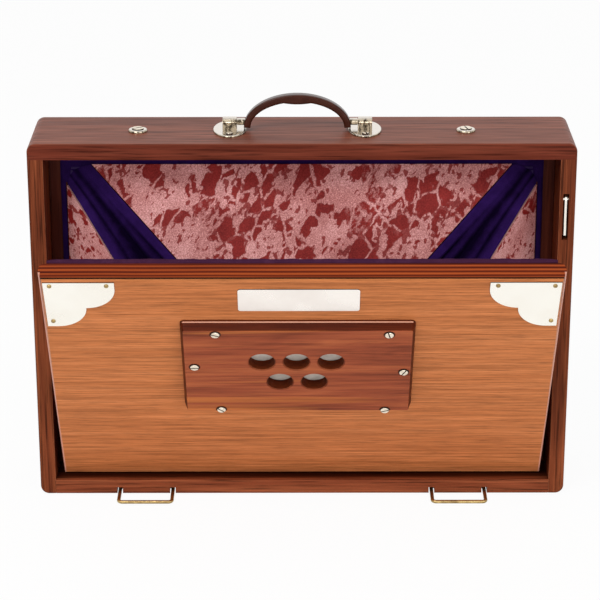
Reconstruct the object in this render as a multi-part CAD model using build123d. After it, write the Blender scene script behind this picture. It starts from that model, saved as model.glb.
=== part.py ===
from build123d import *
from math import cos, radians, sin
import os

os.makedirs("parts", exist_ok=True)

# Frame
# Origin at the middle of the case's underside, +X along its length, +Z up, front at -Y.

# Case
CASE_W = 406
CASE_H = 283
CASE_D = 75
WALL = 12
CORNER_R = 6.5
ARRIS_R = 2.2
INNER_ARRIS = 0.8
FRONT_Y = -CASE_D / 2
OPENING_W = CASE_W - 2 * WALL
OPENING_TOP_Z = CASE_H - WALL

# Fits and clearances
PANEL_GAP = 0.4
PIVOT_CLEARANCE = 0.2
SWING_CLEARANCE = 0.3
BOARD_SIDE_GAP = 6
BOARD_TOP_GAP = 6.4

# Pump board, drawn closed and upright, then swung open about its lower rear edge
PIVOT_Y = FRONT_Y + 24.4
PIVOT_Z = WALL + 10.6
BOARD_W = OPENING_W - 2 * BOARD_SIDE_GAP
BOARD_H = OPENING_TOP_Z - BOARD_TOP_GAP - PIVOT_Z
BOARD_T = 16
SKIN_T = 2.8
SKIN_DROP = 0.6
OPEN_ANGLE = 32.2
RAIL_W = 26
BOARD_REAR_R = 5
BEVEL_TOP = 3.4
BEVEL_LOW = 0.4
BEVEL_DEPTH = 8
BOARD_FRONT_Y = PIVOT_Y - BOARD_T
BOARD_TOP_Z = PIVOT_Z + BOARD_H

# Fixed boards behind the bellows
PAN_FRONT_Y = FRONT_Y + 36
PAN_T = 6
CHEST_DEPTH = 10
CHEST_BAR = 14
TONE_BOARD_T = 6
CHEST_FRONT_Y = PAN_FRONT_Y + PAN_T
TONE_FRONT_Y = CHEST_FRONT_Y + CHEST_DEPTH
TONE_REAR_Y = TONE_FRONT_Y + TONE_BOARD_T

# Bellows panels
CARD_T = 2
FOLD_OFFSET = 1.4
TOP_FOLD_Z = OPENING_TOP_Z - 14
TOP_FOLD_ANGLE = 26.5
TOP_CARD_HALF = OPENING_W / 2 - 33
TOP_CARD_DEPTH = 96
TOP_CARD_CUT = 0.895
SIDE_FOLD_X = OPENING_W / 2 - 14.4
SIDE_FOLD_ANGLE = 43
SIDE_CARD_LOW = 30
SIDE_CARD_HIGH = TOP_FOLD_Z - 16.2
SIDE_CARD_CUT = 0.87
SIDE_CARD_FOOT = 4
SIDE_CARD_TAPER = 0.34
CLOTH_T = 0.8
CLOTH_LAP = 1.0

# Cloth hems
HEM_OUT = OPENING_W / 2 - 9.2
HEM_IN = SIDE_FOLD_X + 1.7
HEM_TOP_Z = TOP_FOLD_Z + 8.4
HEM_T = 1.5
HEM_W = 2.6
PATCH_T = 0.8
ROLL_HEM_T = 5
ROLL_HEM_H = 4.4

# Valve cover plate and its holes, placed from the board's lower edge
PLATE_W = 168.4
PLATE_H = 103.8
PLATE_T = 8.4
PLATE_FOOT = 1.6
PLATE_TAPER = 18
PLATE_X = -3.2
PLATE_LOW = BOARD_H - 148.4
PLATE_CORNER_R = 3.4
PLATE_EDGE_R = 0.8
VALVE_HOLE_D = 19.1
VALVE_PITCH = 25
VALVE_ROW_GAP = 24.6
VALVE_TOP_ROW = PLATE_LOW + 63.5
VALVE_X = -4.2
WINDOW_W = 132
WINDOW_H = 66
FLAP_W = 104
FLAP_H = 54
FLAP_T = 1.2
SCREW_HEAD_D = 6.6
SCREW_HEAD_H = 1.7
SCREW_SHANK_D = 2.6
SLOT_W = 0.9

# Trim on the pump board
NAME_W = 86
NAME_H = 24.6
NAME_T = 0.6
NAME_X = -2.4
NAME_MID = BOARD_H - 21.1
CORNER_LEG = 50
CORNER_TIP = 7.5
CORNER_ARC = 21.25
CORNER_T = 0.7
CORNER_INSET = 3.6
CORNER_DROP = 0.9
PIN_HEAD_D = 3.3

# Hinges under the pump board
HINGE_LEN = 44
HINGE_X = BOARD_W / 2 - 57
KNUCKLE_R = 1.8
HINGE_PIN_R = 0.9
LEAF_T = 1.0
LEAF_W = 9
BATTEN_T = 9.6

# Handle
HANDLE_X = -3.4
HANDLE_HALF = 50.6
HANDLE_PLATE_W = 25
HANDLE_PLATE_D = 42
HANDLE_PLATE_T = 1.5
POST_W = 10.6
POST_D = 8
POST_H = 9
HANDLE_PIVOT_Z = CASE_H + HANDLE_PLATE_T + 5.2
GRIP_HALF = 37.6
GRIP_RISE = 22.8
GRIP_FOOT_Z = CASE_H + 2.4
GRIP_W = 8
GRIP_END_T = 5
GRIP_TOP_T = 6
GRIP_SWELL = 1.7
GRIP_SWELL_R = 60
GRIP_EDGE_R = 1.7
HANDLE_PIN_R = 1.9
COLLAR_R = 2.7

# Cup washers on top
WASHER_X = CASE_W / 2 - 80.2
WASHER_Y = -2.5
WASHER_R = 7.2
WASHER_H = 1.9
CUP_SCREW_R = 4.1

# Wire feet
FOOT_X = CASE_W / 2 - 82
FOOT_SPREAD = 41
WIRE_R = 1.4
FOOT_REACH = 17.5
FOOT_PIVOT_Y = FRONT_Y + 8
FOOT_PIVOT_Z = 2.6
FOOT_BEND_R = 2.9
FOOT_PIN = 9
FOOT_GROOVE = 5.6

# Hook in the right-hand side board
HOOK_X = CASE_W / 2 - 7.1
HOOK_SLOT_W = 4.4
HOOK_SLOT_H = 36
HOOK_SLOT_D = 11
HOOK_LOW_Z = CASE_H - 74.6
HOOK_T = 1.6
HOOK_W = 7
HOOK_PIN_R = 1.3

# Tone board
TONES = 13
TONE_MARGIN = 26
TONE_PITCH = (OPENING_W - 2 * TONE_MARGIN) / (TONES - 1)
TONE_HOLE_D = 10
TONE_HOLE_Z = CASE_H - 107
LEVER_LEN = 26
TONE_PIVOT_Z = TONE_HOLE_Z + LEVER_LEN
LEVER_T = 2.4
LEVER_W = 13.6
LEVER_KNOB_D = 9
LEVER_KNOB_H = 6
LEVER_SCREW_R = 1.5
REED_W = 14
REED_LEN = 52
REED_T = 1.2

# Air holes in the pan board and their leather flap
PAN_HOLE_R = 8
PAN_HOLE_PITCH_X = 24
PAN_HOLE_PITCH_Z = 26
PAN_HOLE_MID_Z = CASE_H / 2 - 10.5
RETURN_FLAP_W = 100
RETURN_FLAP_H = 52
RETURN_FLAP_TOP_Z = PAN_HOLE_MID_Z + 27


def block(x0, x1, y0, y1, z0, z1):
    solid = Box(x1 - x0, y1 - y0, z1 - z0)
    return Pos((x0 + x1) / 2, (y0 + y1) / 2, (z0 + z1) / 2) * solid


def along_x(radius, x0, x1, y, z):
    return Pos((x0 + x1) / 2, y, z) * Rot(0, 90, 0) * Cylinder(radius, x1 - x0)


def along_y(radius, x, y0, y1, z):
    return Pos(x, (y0 + y1) / 2, z) * Rot(90, 0, 0) * Cylinder(radius, y1 - y0)


def slab(points, thickness):
    """Flat card from (x, z) points, centred on y = 0."""
    face = make_face(Polyline(*[(x, 0, z) for x, z in points], close=True))
    return extrude(face, amount=thickness / 2, dir=(0, 1, 0), both=True)


def opened(shape):
    """Swing what is drawn on the closed pump board to its open rest position."""
    return shape.rotate(Axis((0, PIVOT_Y, PIVOT_Z), (1, 0, 0)), OPEN_ANGLE)


def mirrored(shape):
    return mirror(shape, about=Plane.YZ)


def sheet(rows, thickness):
    """Closed thin solid through a grid of points."""
    count = len(rows)
    width = len(rows[0])
    normals = []
    for i in range(count):
        line = []
        for j in range(width):
            across = rows[i][min(j + 1, width - 1)] - rows[i][max(j - 1, 0)]
            along = rows[min(i + 1, count - 1)][j] - rows[max(i - 1, 0)][j]
            line.append(across.cross(along).normalized() * (thickness / 2))
        normals.append(line)
    front = [[p + n for p, n in zip(r, m)] for r, m in zip(rows, normals)]
    back = [[p - n for p, n in zip(r, m)] for r, m in zip(rows, normals)]
    faces = []
    for side in (front, back):
        for i in range(count - 1):
            for j in range(width - 1):
                a, b = side[i][j], side[i][j + 1]
                c, d = side[i + 1][j + 1], side[i + 1][j]
                faces.append(triangle(a, b, c))
                faces.append(triangle(a, c, d))
    rim = [(i, 0) for i in range(count)]
    rim += [(count - 1, j) for j in range(1, width)]
    rim += [(i, width - 1) for i in range(count - 2, -1, -1)]
    rim += [(0, j) for j in range(width - 2, 0, -1)]
    for (i, j), (k, m) in zip(rim, rim[1:] + rim[:1]):
        faces.append(triangle(front[i][j], front[k][m], back[k][m]))
        faces.append(triangle(front[i][j], back[k][m], back[i][j]))
    return Solid(Shell(faces))


def triangle(a, b, c):
    return Face(Wire.make_polygon([a, b, c], close=True))


# Case boards


def case_slab():
    """Full-width board with its two outer corners and arrises rounded, outside up."""
    solid = block(-CASE_W / 2, CASE_W / 2, FRONT_Y, -FRONT_Y, 0, WALL)
    ends = solid.edges().filter_by(Axis.Y).group_by(Axis.Z)[-1]
    solid = fillet(ends, CORNER_R)
    for end in (0, -1):
        rim = solid.edges().group_by(Axis.Y)[end]
        rim = [e for e in rim if e.center().Z > 0.01]
        solid = fillet(rim, ARRIS_R)
    return solid


def case_top():
    solid = Pos(0, 0, OPENING_TOP_Z) * case_slab()
    for x in (-WASHER_X, WASHER_X):
        solid -= Pos(x, WASHER_Y, CASE_H - 12) * Cylinder(CUP_SCREW_R / 2, 24)
    for x, y in handle_screw_places():
        solid -= Pos(x, y, CASE_H - 4) * Cylinder(SCREW_SHANK_D / 2, 8)
    return solid


def foot_recess(centre):
    """Groove for a wire foot: two legs, their pivots and the folded bar."""
    cut = None
    leg_length = FOOT_PIVOT_Y - FRONT_Y + FOOT_REACH
    rear = FOOT_PIVOT_Y + leg_length + WIRE_R + 1.2
    for side in (-1, 1):
        x = centre + side * FOOT_SPREAD / 2
        leg = block(x - 2.2, x + 2.2, FRONT_Y - 1, rear, -1, FOOT_GROOVE)
        inner = x - side * (FOOT_PIN + 1.5)
        low, high = min(x, inner), max(x, inner)
        pin = block(low, high, FOOT_PIVOT_Y - 2.4, FOOT_PIVOT_Y + 2.4, -1, FOOT_GROOVE)
        cut = leg + pin if cut is None else cut + leg + pin
        low, high = min(x, inner - side * 3), max(x, inner - side * 3)
        cut += block(low, high, FOOT_PIVOT_Y - 6.2, FOOT_PIVOT_Y + 6.2, -1, 1.1)
    half = FOOT_SPREAD / 2 + 2.2
    cut += block(centre - half, centre + half, rear - 6, rear, -1, FOOT_GROOVE)
    return cut


def case_bottom():
    solid = block(-OPENING_W / 2, OPENING_W / 2, FRONT_Y, -FRONT_Y, 0, WALL)
    solid = fillet(solid.edges().filter_by(Axis.X).group_by(Axis.Z)[0], ARRIS_R)
    for centre in (-FOOT_X, FOOT_X):
        solid -= foot_recess(centre)
    return solid


def case_side():
    """Left-hand side board, beside the end of the bottom board and under the top board."""
    solid = block(-CASE_W / 2, -OPENING_W / 2, FRONT_Y, -FRONT_Y, 0, OPENING_TOP_Z)
    foot = solid.edges().filter_by(Axis.Y).group_by(Axis.Z)[0].sort_by(Axis.X)[0]
    solid = fillet(foot, CORNER_R)
    for end in (0, -1):
        rim = solid.edges().group_by(Axis.Y)[end]
        outer = [e for e in rim if e.center().X < -OPENING_W / 2 - 0.01]
        outer = [e for e in outer if e.center().Z < OPENING_TOP_Z - 0.01]
        solid = fillet(outer, ARRIS_R)
    inner = solid.edges().filter_by(Axis.Z).group_by(Axis.X)[-1]
    return fillet(inner, INNER_ARRIS)


def case_side_right():
    solid = mirrored(case_side())
    low, high = HOOK_X - HOOK_SLOT_W / 2, HOOK_X + HOOK_SLOT_W / 2
    top = HOOK_LOW_Z + HOOK_SLOT_H
    solid -= block(low, high, FRONT_Y - 1, FRONT_Y + HOOK_SLOT_D, HOOK_LOW_Z, top)
    return solid - along_x(HOOK_PIN_R, low - 2, high + 2, hook_pivot_y(), hook_pivot_z())


# Fixed boards


def fitted_board(y0, y1):
    half = OPENING_W / 2 - PANEL_GAP
    return block(-half, half, y0, y1, WALL, OPENING_TOP_Z)


def pan_hole_places():
    xs = [i * PAN_HOLE_PITCH_X for i in (-1.5, -0.5, 0.5, 1.5)]
    zs = [PAN_HOLE_MID_Z + i * PAN_HOLE_PITCH_Z for i in (-0.5, 0.5)]
    return [(x, z) for x in xs for z in zs]


def pan_board():
    solid = fitted_board(PAN_FRONT_Y, CHEST_FRONT_Y)
    for x, z in pan_hole_places():
        solid -= along_y(PAN_HOLE_R, x, PAN_FRONT_Y - 1, CHEST_FRONT_Y + 1, z)
    return solid


def chest_frame():
    solid = fitted_board(CHEST_FRONT_Y, TONE_FRONT_Y)
    half = OPENING_W / 2 - CHEST_BAR
    low, high = WALL + CHEST_BAR, OPENING_TOP_Z - CHEST_BAR
    return solid - block(-half, half, CHEST_FRONT_Y - 1, TONE_FRONT_Y + 1, low, high)


def tone_places():
    return [(i - (TONES - 1) / 2) * TONE_PITCH for i in range(TONES)]


def tone_board():
    solid = fitted_board(TONE_FRONT_Y, TONE_REAR_Y)
    for x in tone_places():
        solid -= along_y(TONE_HOLE_D / 2, x, TONE_FRONT_Y - 1, TONE_REAR_Y + 1, TONE_HOLE_Z)
        solid -= along_y(LEVER_SCREW_R, x, TONE_FRONT_Y + 1, TONE_REAR_Y + 1, TONE_PIVOT_Z)
    return solid


def nonreturn_flap():
    """Leather strip lying over the pan's holes inside the wind chest."""
    near = CHEST_FRONT_Y + SWING_CLEARANCE
    half = RETURN_FLAP_W / 2
    low = RETURN_FLAP_TOP_Z - RETURN_FLAP_H
    return block(-half, half, near, near + FLAP_T, low, RETURN_FLAP_TOP_Z)


def reed(x):
    """Brass reed plate with its tongue cut out on three sides."""
    near = TONE_FRONT_Y - REED_T
    low = TONE_HOLE_Z - REED_LEN + 10
    solid = block(x - REED_W / 2, x + REED_W / 2, near, TONE_FRONT_Y, low, low + REED_LEN)
    slot = block(x - 3.4, x + 3.4, near - 1, TONE_FRONT_Y + 1, low + 7, low + REED_LEN - 6)
    tongue = block(x - 2.9, x + 2.9, near - 2, TONE_FRONT_Y + 2, low + 7, low + REED_LEN - 6.5)
    return solid - (slot - tongue)


def lever(x):
    """Swinging tone lever with a finger knob, its pad over the tone hole."""
    near = TONE_REAR_Y + PIVOT_CLEARANCE
    far = near + LEVER_T
    solid = block(x - LEVER_W / 2, x + LEVER_W / 2, near, far, TONE_HOLE_Z, TONE_PIVOT_Z)
    solid += along_y(LEVER_W / 2, x, near, far, TONE_HOLE_Z)
    solid += along_y(LEVER_W / 2, x, near, far, TONE_PIVOT_Z)
    solid += along_y(LEVER_KNOB_D / 2, x, near, far + LEVER_KNOB_H, TONE_HOLE_Z)
    rim = solid.edges().filter_by(GeomType.CIRCLE).group_by(Axis.Y)[-1]
    solid = fillet(rim, 1.5)
    return solid - along_y(LEVER_SCREW_R + 0.1, x, near - 1, far + 1, TONE_PIVOT_Z)


def lever_screw(x):
    far = TONE_REAR_Y + PIVOT_CLEARANCE + LEVER_T
    head = along_y(3.2, x, far + 0.1, far + 1.7, TONE_PIVOT_Z)
    head = fillet(head.edges().group_by(Axis.Y)[-1], 0.7)
    head -= block(x - 4, x + 4, far + 1.1, far + 2, TONE_PIVOT_Z - 0.4, TONE_PIVOT_Z + 0.4)
    shank = along_y(LEVER_SCREW_R, x, TONE_FRONT_Y + 1, far + 0.1, TONE_PIVOT_Z)
    return head + shank


# Pump board


def board_span(x0, x1, y0, y1, low, high):
    """Block on the closed pump board, its heights counted from the board's lower edge."""
    return block(x0, x1, y0, y1, PIVOT_Z + low, PIVOT_Z + high)


def frame_piece(x0, x1, low, high):
    rear = PIVOT_Y
    solid = board_span(x0, x1, BOARD_FRONT_Y + SKIN_T, rear, low, high)
    edges = [
        e
        for e in solid.edges().filter_by(Axis.Z)
        if abs(abs(e.center().X) - BOARD_W / 2) < 0.01 and e.center().Y > rear - 0.01
    ]
    return fillet(edges, BOARD_REAR_R) if edges else solid


def beveled(solid):
    """Plane off the board's front side arrises, wide at the top and fading out below."""
    for side in (-1, 1):
        half = side * BOARD_W / 2
        high = Vector(half - side * BEVEL_TOP, BOARD_FRONT_Y, BOARD_TOP_Z)
        low = Vector(half - side * BEVEL_LOW, BOARD_FRONT_Y, PIVOT_Z)
        deep = Vector(half, BOARD_FRONT_Y + BEVEL_DEPTH, BOARD_TOP_Z)
        outward = (deep - high).cross(low - high) * -side
        cut = Plane(high, x_dir=deep - high, z_dir=outward)
        solid = split(solid, bisect_by=cut, keep=Keep.BOTTOM)
    return solid


def hinge_mortises():
    """Room in the lower rail for the hinge leaves and knuckles."""
    cut = None
    for x in (-HINGE_X, HINGE_X):
        half = HINGE_LEN / 2 + SWING_CLEARANCE
        knuckle = along_x(KNUCKLE_R + SWING_CLEARANCE, x - half, x + half, PIVOT_Y, PIVOT_Z)
        leaf = block(
            x - HINGE_LEN / 2, x + HINGE_LEN / 2, PIVOT_Y - LEAF_W, PIVOT_Y, PIVOT_Z, PIVOT_Z + LEAF_T
        )
        cut = knuckle + leaf if cut is None else cut + knuckle + leaf
    return cut


def pump_rail_top():
    return opened(beveled(frame_piece(-BOARD_W / 2, BOARD_W / 2, BOARD_H - RAIL_W, BOARD_H)))


def pump_rail_bottom():
    solid = frame_piece(-BOARD_W / 2, BOARD_W / 2, 0, RAIL_W)
    return opened(solid - hinge_mortises())


def pump_stile_left():
    solid = frame_piece(-BOARD_W / 2, -BOARD_W / 2 + RAIL_W, RAIL_W, BOARD_H - RAIL_W)
    return opened(beveled(solid))


def pump_stile_right():
    solid = frame_piece(BOARD_W / 2 - RAIL_W, BOARD_W / 2, RAIL_W, BOARD_H - RAIL_W)
    return opened(beveled(solid))


def pump_skin():
    """Thin front panel with a window behind the valve cover plate."""
    near, far = BOARD_FRONT_Y, BOARD_FRONT_Y + SKIN_T
    solid = board_span(-BOARD_W / 2, BOARD_W / 2, near, far, 0, BOARD_H - SKIN_DROP)
    solid = beveled(solid)
    middle = PLATE_LOW + PLATE_H / 2
    low, high = middle - WINDOW_H / 2, middle + WINDOW_H / 2
    solid -= board_span(
        PLATE_X - WINDOW_W / 2, PLATE_X + WINDOW_W / 2, near - 1, far + 1, low, high
    )
    for x, z in plate_screw_places():
        solid -= along_y(SCREW_SHANK_D / 2, x, near - 1, far + 1, PIVOT_Z + z)
    for x, z in corner_pin_places():
        solid -= along_y(0.8, x, near - 1, far - 0.4, PIVOT_Z + z)
    return opened(solid)


def valve_hole_places():
    upper = [(VALVE_X + i * VALVE_PITCH, VALVE_TOP_ROW) for i in (-1, 0, 1)]
    low = VALVE_TOP_ROW - VALVE_ROW_GAP
    lower = [(VALVE_X + 0.5 + (i - 0.5) * VALVE_PITCH, low) for i in (0, 1)]
    return upper + lower


def plate_screw_places():
    """Hand-set screws, from the plate's middle and its lower edge."""
    shifts = [(-58.9, 97.4), (65.3, 97), (-75, 57.8), (77, 51.4), (-56.8, 4), (64.6, 3)]
    return [(PLATE_X + x, PLATE_LOW + z) for x, z in shifts]


def valve_plate():
    far = BOARD_FRONT_Y
    near = far - PLATE_T
    middle = (PLATE_X, far - PLATE_FOOT, PIVOT_Z + PLATE_LOW + PLATE_H / 2)
    outline = Plane(middle, x_dir=(1, 0, 0), z_dir=(0, -1, 0))
    outline *= RectangleRounded(PLATE_W, PLATE_H, PLATE_CORNER_R)
    solid = extrude(outline, amount=PLATE_T - PLATE_FOOT, taper=PLATE_TAPER)
    solid = fillet(solid.edges().group_by(Axis.Y)[0], PLATE_EDGE_R)
    solid += extrude(outline, amount=-PLATE_FOOT)
    for x, z in valve_hole_places():
        hole = along_y(VALVE_HOLE_D / 2, x, near - 1, far + 1, PIVOT_Z + z)
        lead = Pos(x, near + 0.35, PIVOT_Z + z) * Rot(90, 0, 0) * Cone(
            VALVE_HOLE_D / 2 + 0.05, VALVE_HOLE_D / 2 + 0.75, 0.7
        )
        solid -= hole + lead
    for x, z in plate_screw_places():
        solid -= along_y(SCREW_SHANK_D / 2, x, near - 1, far + 1, PIVOT_Z + z)
        solid -= along_y(SCREW_HEAD_D / 2, x, near - 1, near + 0.5, PIVOT_Z + z)
    return opened(solid)


def plate_screw(x, z, turn):
    """Slotted pan-head screw on the valve cover plate."""
    near = BOARD_FRONT_Y - PLATE_T
    seat = near + 0.5
    height = PIVOT_Z + z
    head = along_y(SCREW_HEAD_D / 2, x, seat - SCREW_HEAD_H, seat, height)
    head = fillet(head.edges().group_by(Axis.Y)[0], 0.9)
    slot = Box(SCREW_HEAD_D + 1, 1.4, SLOT_W)
    head -= Pos(x, seat - SCREW_HEAD_H, height) * Rot(0, turn, 0) * slot
    shank = along_y(SCREW_SHANK_D / 2, x, seat, BOARD_FRONT_Y + SKIN_T, height)
    return head + shank


def valve_plate_screws():
    turns = (20, 75, 0, 120, 40, 160)
    places = plate_screw_places()
    return opened(Compound([plate_screw(x, z, t) for (x, z), t in zip(places, turns)]))


def intake_flap():
    """Leather flap hanging behind the five holes, inside the skin's window."""
    near = BOARD_FRONT_Y + SWING_CLEARANCE
    middle = PLATE_LOW + PLATE_H / 2
    x0, x1 = VALVE_X - FLAP_W / 2, VALVE_X + FLAP_W / 2
    low = middle - FLAP_H / 2 - 1
    return opened(board_span(x0, x1, near, near + FLAP_T, low, low + FLAP_H))


def nameplate():
    far = BOARD_FRONT_Y
    x0, x1 = NAME_X - NAME_W / 2, NAME_X + NAME_W / 2
    low, high = NAME_MID - NAME_H / 2, NAME_MID + NAME_H / 2
    solid = board_span(x0, x1, far - NAME_T, far, low, high)
    return opened(fillet(solid.edges().filter_by(Axis.Y), 2))


def corner_outline():
    """Corner plate drawn from its corner along +X and -Z, two round lobes meeting in a notch."""
    leg, tip, arc = CORNER_LEG, CORNER_TIP, CORNER_ARC
    cusp = leg - arc
    along = cos(radians(45)) * arc
    with_x = (cusp + along, 0, -(tip + along))
    with_z = (tip + along, 0, -(cusp + along))
    lines = [
        Line((0, 0, 0), (leg, 0, 0)),
        Line((leg, 0, 0), (leg, 0, -tip)),
        ThreePointArc((leg, 0, -tip), with_x, (cusp, 0, -cusp)),
        ThreePointArc((cusp, 0, -cusp), with_z, (tip, 0, -leg)),
        Line((tip, 0, -leg), (0, 0, -leg)),
        Line((0, 0, -leg), (0, 0, 0)),
    ]
    return make_face(lines)


def corner_plate():
    solid = extrude(corner_outline(), amount=CORNER_T, dir=(0, -1, 0))
    x = -BOARD_W / 2 + CORNER_INSET
    solid = Pos(x, BOARD_FRONT_Y, BOARD_TOP_Z - CORNER_DROP) * solid
    for px, pz in corner_pin_places():
        solid -= along_y(0.8, px, BOARD_FRONT_Y - 2, BOARD_FRONT_Y + 1, PIVOT_Z + pz)
    return solid


def corner_pin_places():
    x = BOARD_W / 2 - CORNER_INSET
    z = BOARD_H - CORNER_DROP
    left = [(-x + 4.6, z - 3.6), (-x + 44.5, z - 3.4), (-x + 4.2, z - 44)]
    return left + [(-px, pz) for px, pz in left]


def corner_plates():
    return opened(Compound([corner_plate(), mirrored(corner_plate())]))


def corner_pin(x, z):
    seat = BOARD_FRONT_Y - CORNER_T
    head = along_y(PIN_HEAD_D / 2, x, seat - 0.9, seat, PIVOT_Z + z)
    head = fillet(head.edges().group_by(Axis.Y)[0], 0.7)
    return head + along_y(0.8, x, seat, BOARD_FRONT_Y + SKIN_T - 0.4, PIVOT_Z + z)


def pump_hem():
    """Rolled cloth hem along the board's top rear edge."""
    half = BOARD_W / 2 - BOARD_REAR_R - 0.5
    high = BOARD_H + 0.6
    low = high - ROLL_HEM_H
    solid = board_span(-half, half, PIVOT_Y, PIVOT_Y + ROLL_HEM_T, low, high)
    rim = solid.edges().filter_by(Axis.X).group_by(Axis.Y)[-1]
    return opened(fillet(rim, ROLL_HEM_H / 2 - 0.2))


# Hinges


def hinge_batten():
    """Wooden batten that closes the foot of the bellows and carries the hinges."""
    far = PAN_FRONT_Y
    near = far - BATTEN_T
    half = BOARD_W / 2 - 2
    solid = block(-half, half, near, far, WALL, PIVOT_Z - 1.4)
    for x in (-HINGE_X, HINGE_X):
        end = HINGE_LEN / 2
        solid -= block(x - end, x + end, near - 1, far, PIVOT_Z - 1.4 - LEAF_T, PIVOT_Z)
    return solid


def knuckle(x0, x1):
    barrel = along_x(KNUCKLE_R, x0, x1, PIVOT_Y, PIVOT_Z)
    return barrel - along_x(HINGE_PIN_R + 0.1, x0 - 1, x1 + 1, PIVOT_Y, PIVOT_Z)


def hinge_leaf_case(x):
    """Fixed leaf with its middle knuckle and the pin."""
    third = HINGE_LEN / 6
    end = HINGE_LEN / 2
    high = PIVOT_Z - 1.4
    leaf = block(x - end, x + end, PIVOT_Y + 2.3, PAN_FRONT_Y - 0.3, high - LEAF_T, high)
    tab = block(
        x - third + 0.1, x + third - 0.1, PIVOT_Y - 0.4, PIVOT_Y + 2.4, high - LEAF_T, high
    )
    tab -= along_x(KNUCKLE_R - 0.3, x - end, x + end, PIVOT_Y, PIVOT_Z)
    barrel = along_x(KNUCKLE_R, x - third + 0.1, x + third - 0.1, PIVOT_Y, PIVOT_Z)
    pin = along_x(HINGE_PIN_R, x - end, x + end, PIVOT_Y, PIVOT_Z)
    return leaf + tab + barrel + pin


def hinge_leaf_board(x):
    """Moving leaf under the lower rail with its two outer knuckles."""
    third = HINGE_LEN / 6
    end = HINGE_LEN / 2
    leaf = block(x - end, x + end, PIVOT_Y - LEAF_W, PIVOT_Y - 2.2, PIVOT_Z, PIVOT_Z + LEAF_T)
    parts = [leaf]
    for x0, x1 in ((x - end, x - third - 0.1), (x + third + 0.1, x + end)):
        tab = block(x0, x1, PIVOT_Y - 2.3, PIVOT_Y - 1.3, PIVOT_Z, PIVOT_Z + LEAF_T)
        parts.append(tab)
        parts.append(knuckle(x0, x1))
    solid = parts[0]
    for piece in parts[1:]:
        solid += piece
    return solid


# Bellows


def rear_top_place():
    return Pos(0, PAN_FRONT_Y - FOLD_OFFSET, TOP_FOLD_Z) * Rot(-TOP_FOLD_ANGLE, 0, 0)


def front_top_place():
    closed = Pos(0, PIVOT_Y + FOLD_OFFSET, TOP_FOLD_Z - 1.2) * Rot(TOP_FOLD_ANGLE, 0, 0)
    return board_swing() * closed


def rear_side_place():
    return Pos(-SIDE_FOLD_X, PAN_FRONT_Y - FOLD_OFFSET, 0) * Rot(0, 0, SIDE_FOLD_ANGLE - 90)


def front_side_place():
    closed = Pos(-SIDE_FOLD_X, PIVOT_Y + FOLD_OFFSET, 0) * Rot(0, 0, 90 - SIDE_FOLD_ANGLE)
    return board_swing() * closed


def board_swing():
    """The pump board's swing from closed to its rest position, as a location."""
    return Pos(0, PIVOT_Y, PIVOT_Z) * Rot(OPEN_ANGLE, 0, 0) * Pos(0, -PIVOT_Y, -PIVOT_Z)


def top_card_half(depth):
    return TOP_CARD_HALF - TOP_CARD_CUT * depth


def side_card_width(z):
    return SIDE_CARD_FOOT + SIDE_CARD_TAPER * (z - PIVOT_Z)


def side_card_tip():
    """Width and height where the side card's slanted cut meets its inner edge."""
    free = SIDE_CARD_FOOT + SIDE_CARD_TAPER * (SIDE_CARD_HIGH - PIVOT_Z)
    width = free / (1 + SIDE_CARD_TAPER * SIDE_CARD_CUT)
    return width, SIDE_CARD_HIGH - SIDE_CARD_CUT * width


def top_card():
    low = top_card_half(TOP_CARD_DEPTH)
    points = [(-TOP_CARD_HALF, 0), (TOP_CARD_HALF, 0), (low, -TOP_CARD_DEPTH), (-low, -TOP_CARD_DEPTH)]
    return slab(points, CARD_T)


def side_card():
    width, height = side_card_tip()
    foot = side_card_width(SIDE_CARD_LOW)
    return slab([(0, SIDE_CARD_LOW), (0, SIDE_CARD_HIGH), (width, height), (foot, SIDE_CARD_LOW)], CARD_T)


def placed(location, x, y, z):
    return (location * Pos(x, y, z)).position


def mix(a, b, t):
    return a * (1 - t) + b * t


def bend(a, control, b, t):
    return a * ((1 - t) ** 2) + control * (2 * t * (1 - t)) + b * (t ** 2)


def top_edge(location, t):
    """Point just off the left end of a top card, from its fold (0) to its tip (1)."""
    depth = TOP_CARD_DEPTH * t
    return placed(location, -top_card_half(depth) - CLOTH_LAP, 0, -depth)


def side_edge(location, t):
    """Point just off the slanted cut of a left side card, from its fold to its tip."""
    width, height = side_card_tip()
    x = width * t
    z = SIDE_CARD_HIGH + (height - SIDE_CARD_HIGH) * t
    return placed(location, x, 0, z + CLOTH_LAP)


def gusset_left():
    """Cloth corner of the bellows: rear half, valley and front half in one folded sheet."""
    inward = placed(rear_top_place(), -top_card_half(TOP_CARD_DEPTH) - 26, 0, -TOP_CARD_DEPTH + 4)
    x, z = -SIDE_FOLD_X + 1, TOP_FOLD_Z - 2
    halves = (
        (rear_top_place(), rear_side_place(), Vector(x, PAN_FRONT_Y - 1.7, z)),
        (front_top_place(), front_side_place(), opened(Vertex(x, PIVOT_Y + 1.7, z - 1)).center()),
    )
    rows = []
    for top, side, corner in halves:
        half = []
        for i in range(7):
            t = i / 6
            pull = mix(corner, inward, t ** 0.7)
            start, end = side_edge(side, t), top_edge(top, t)
            half.append([bend(start, pull, end, j / 6) for j in range(7)])
        rows += half if top is halves[0][0] else half[::-1]
    return sheet(rows, CLOTH_T)


def valley_strip(rear, front, sag):
    """Narrow cloth joining the tips of a rear and a front card along their fold."""
    rows = [rear, [mix(a, b, 0.5) + sag for a, b in zip(rear, front)], front]
    return sheet(rows, CLOTH_T)


def top_valley():
    half = top_card_half(TOP_CARD_DEPTH) - 2
    depth = -TOP_CARD_DEPTH - CLOTH_LAP
    rear = [placed(rear_top_place(), x, 0, depth) for x in (-half, half)]
    front = [placed(front_top_place(), x, 0, depth) for x in (-half, half)]
    return valley_strip(rear, front, Vector(0, 0.4, -1.6))


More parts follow.
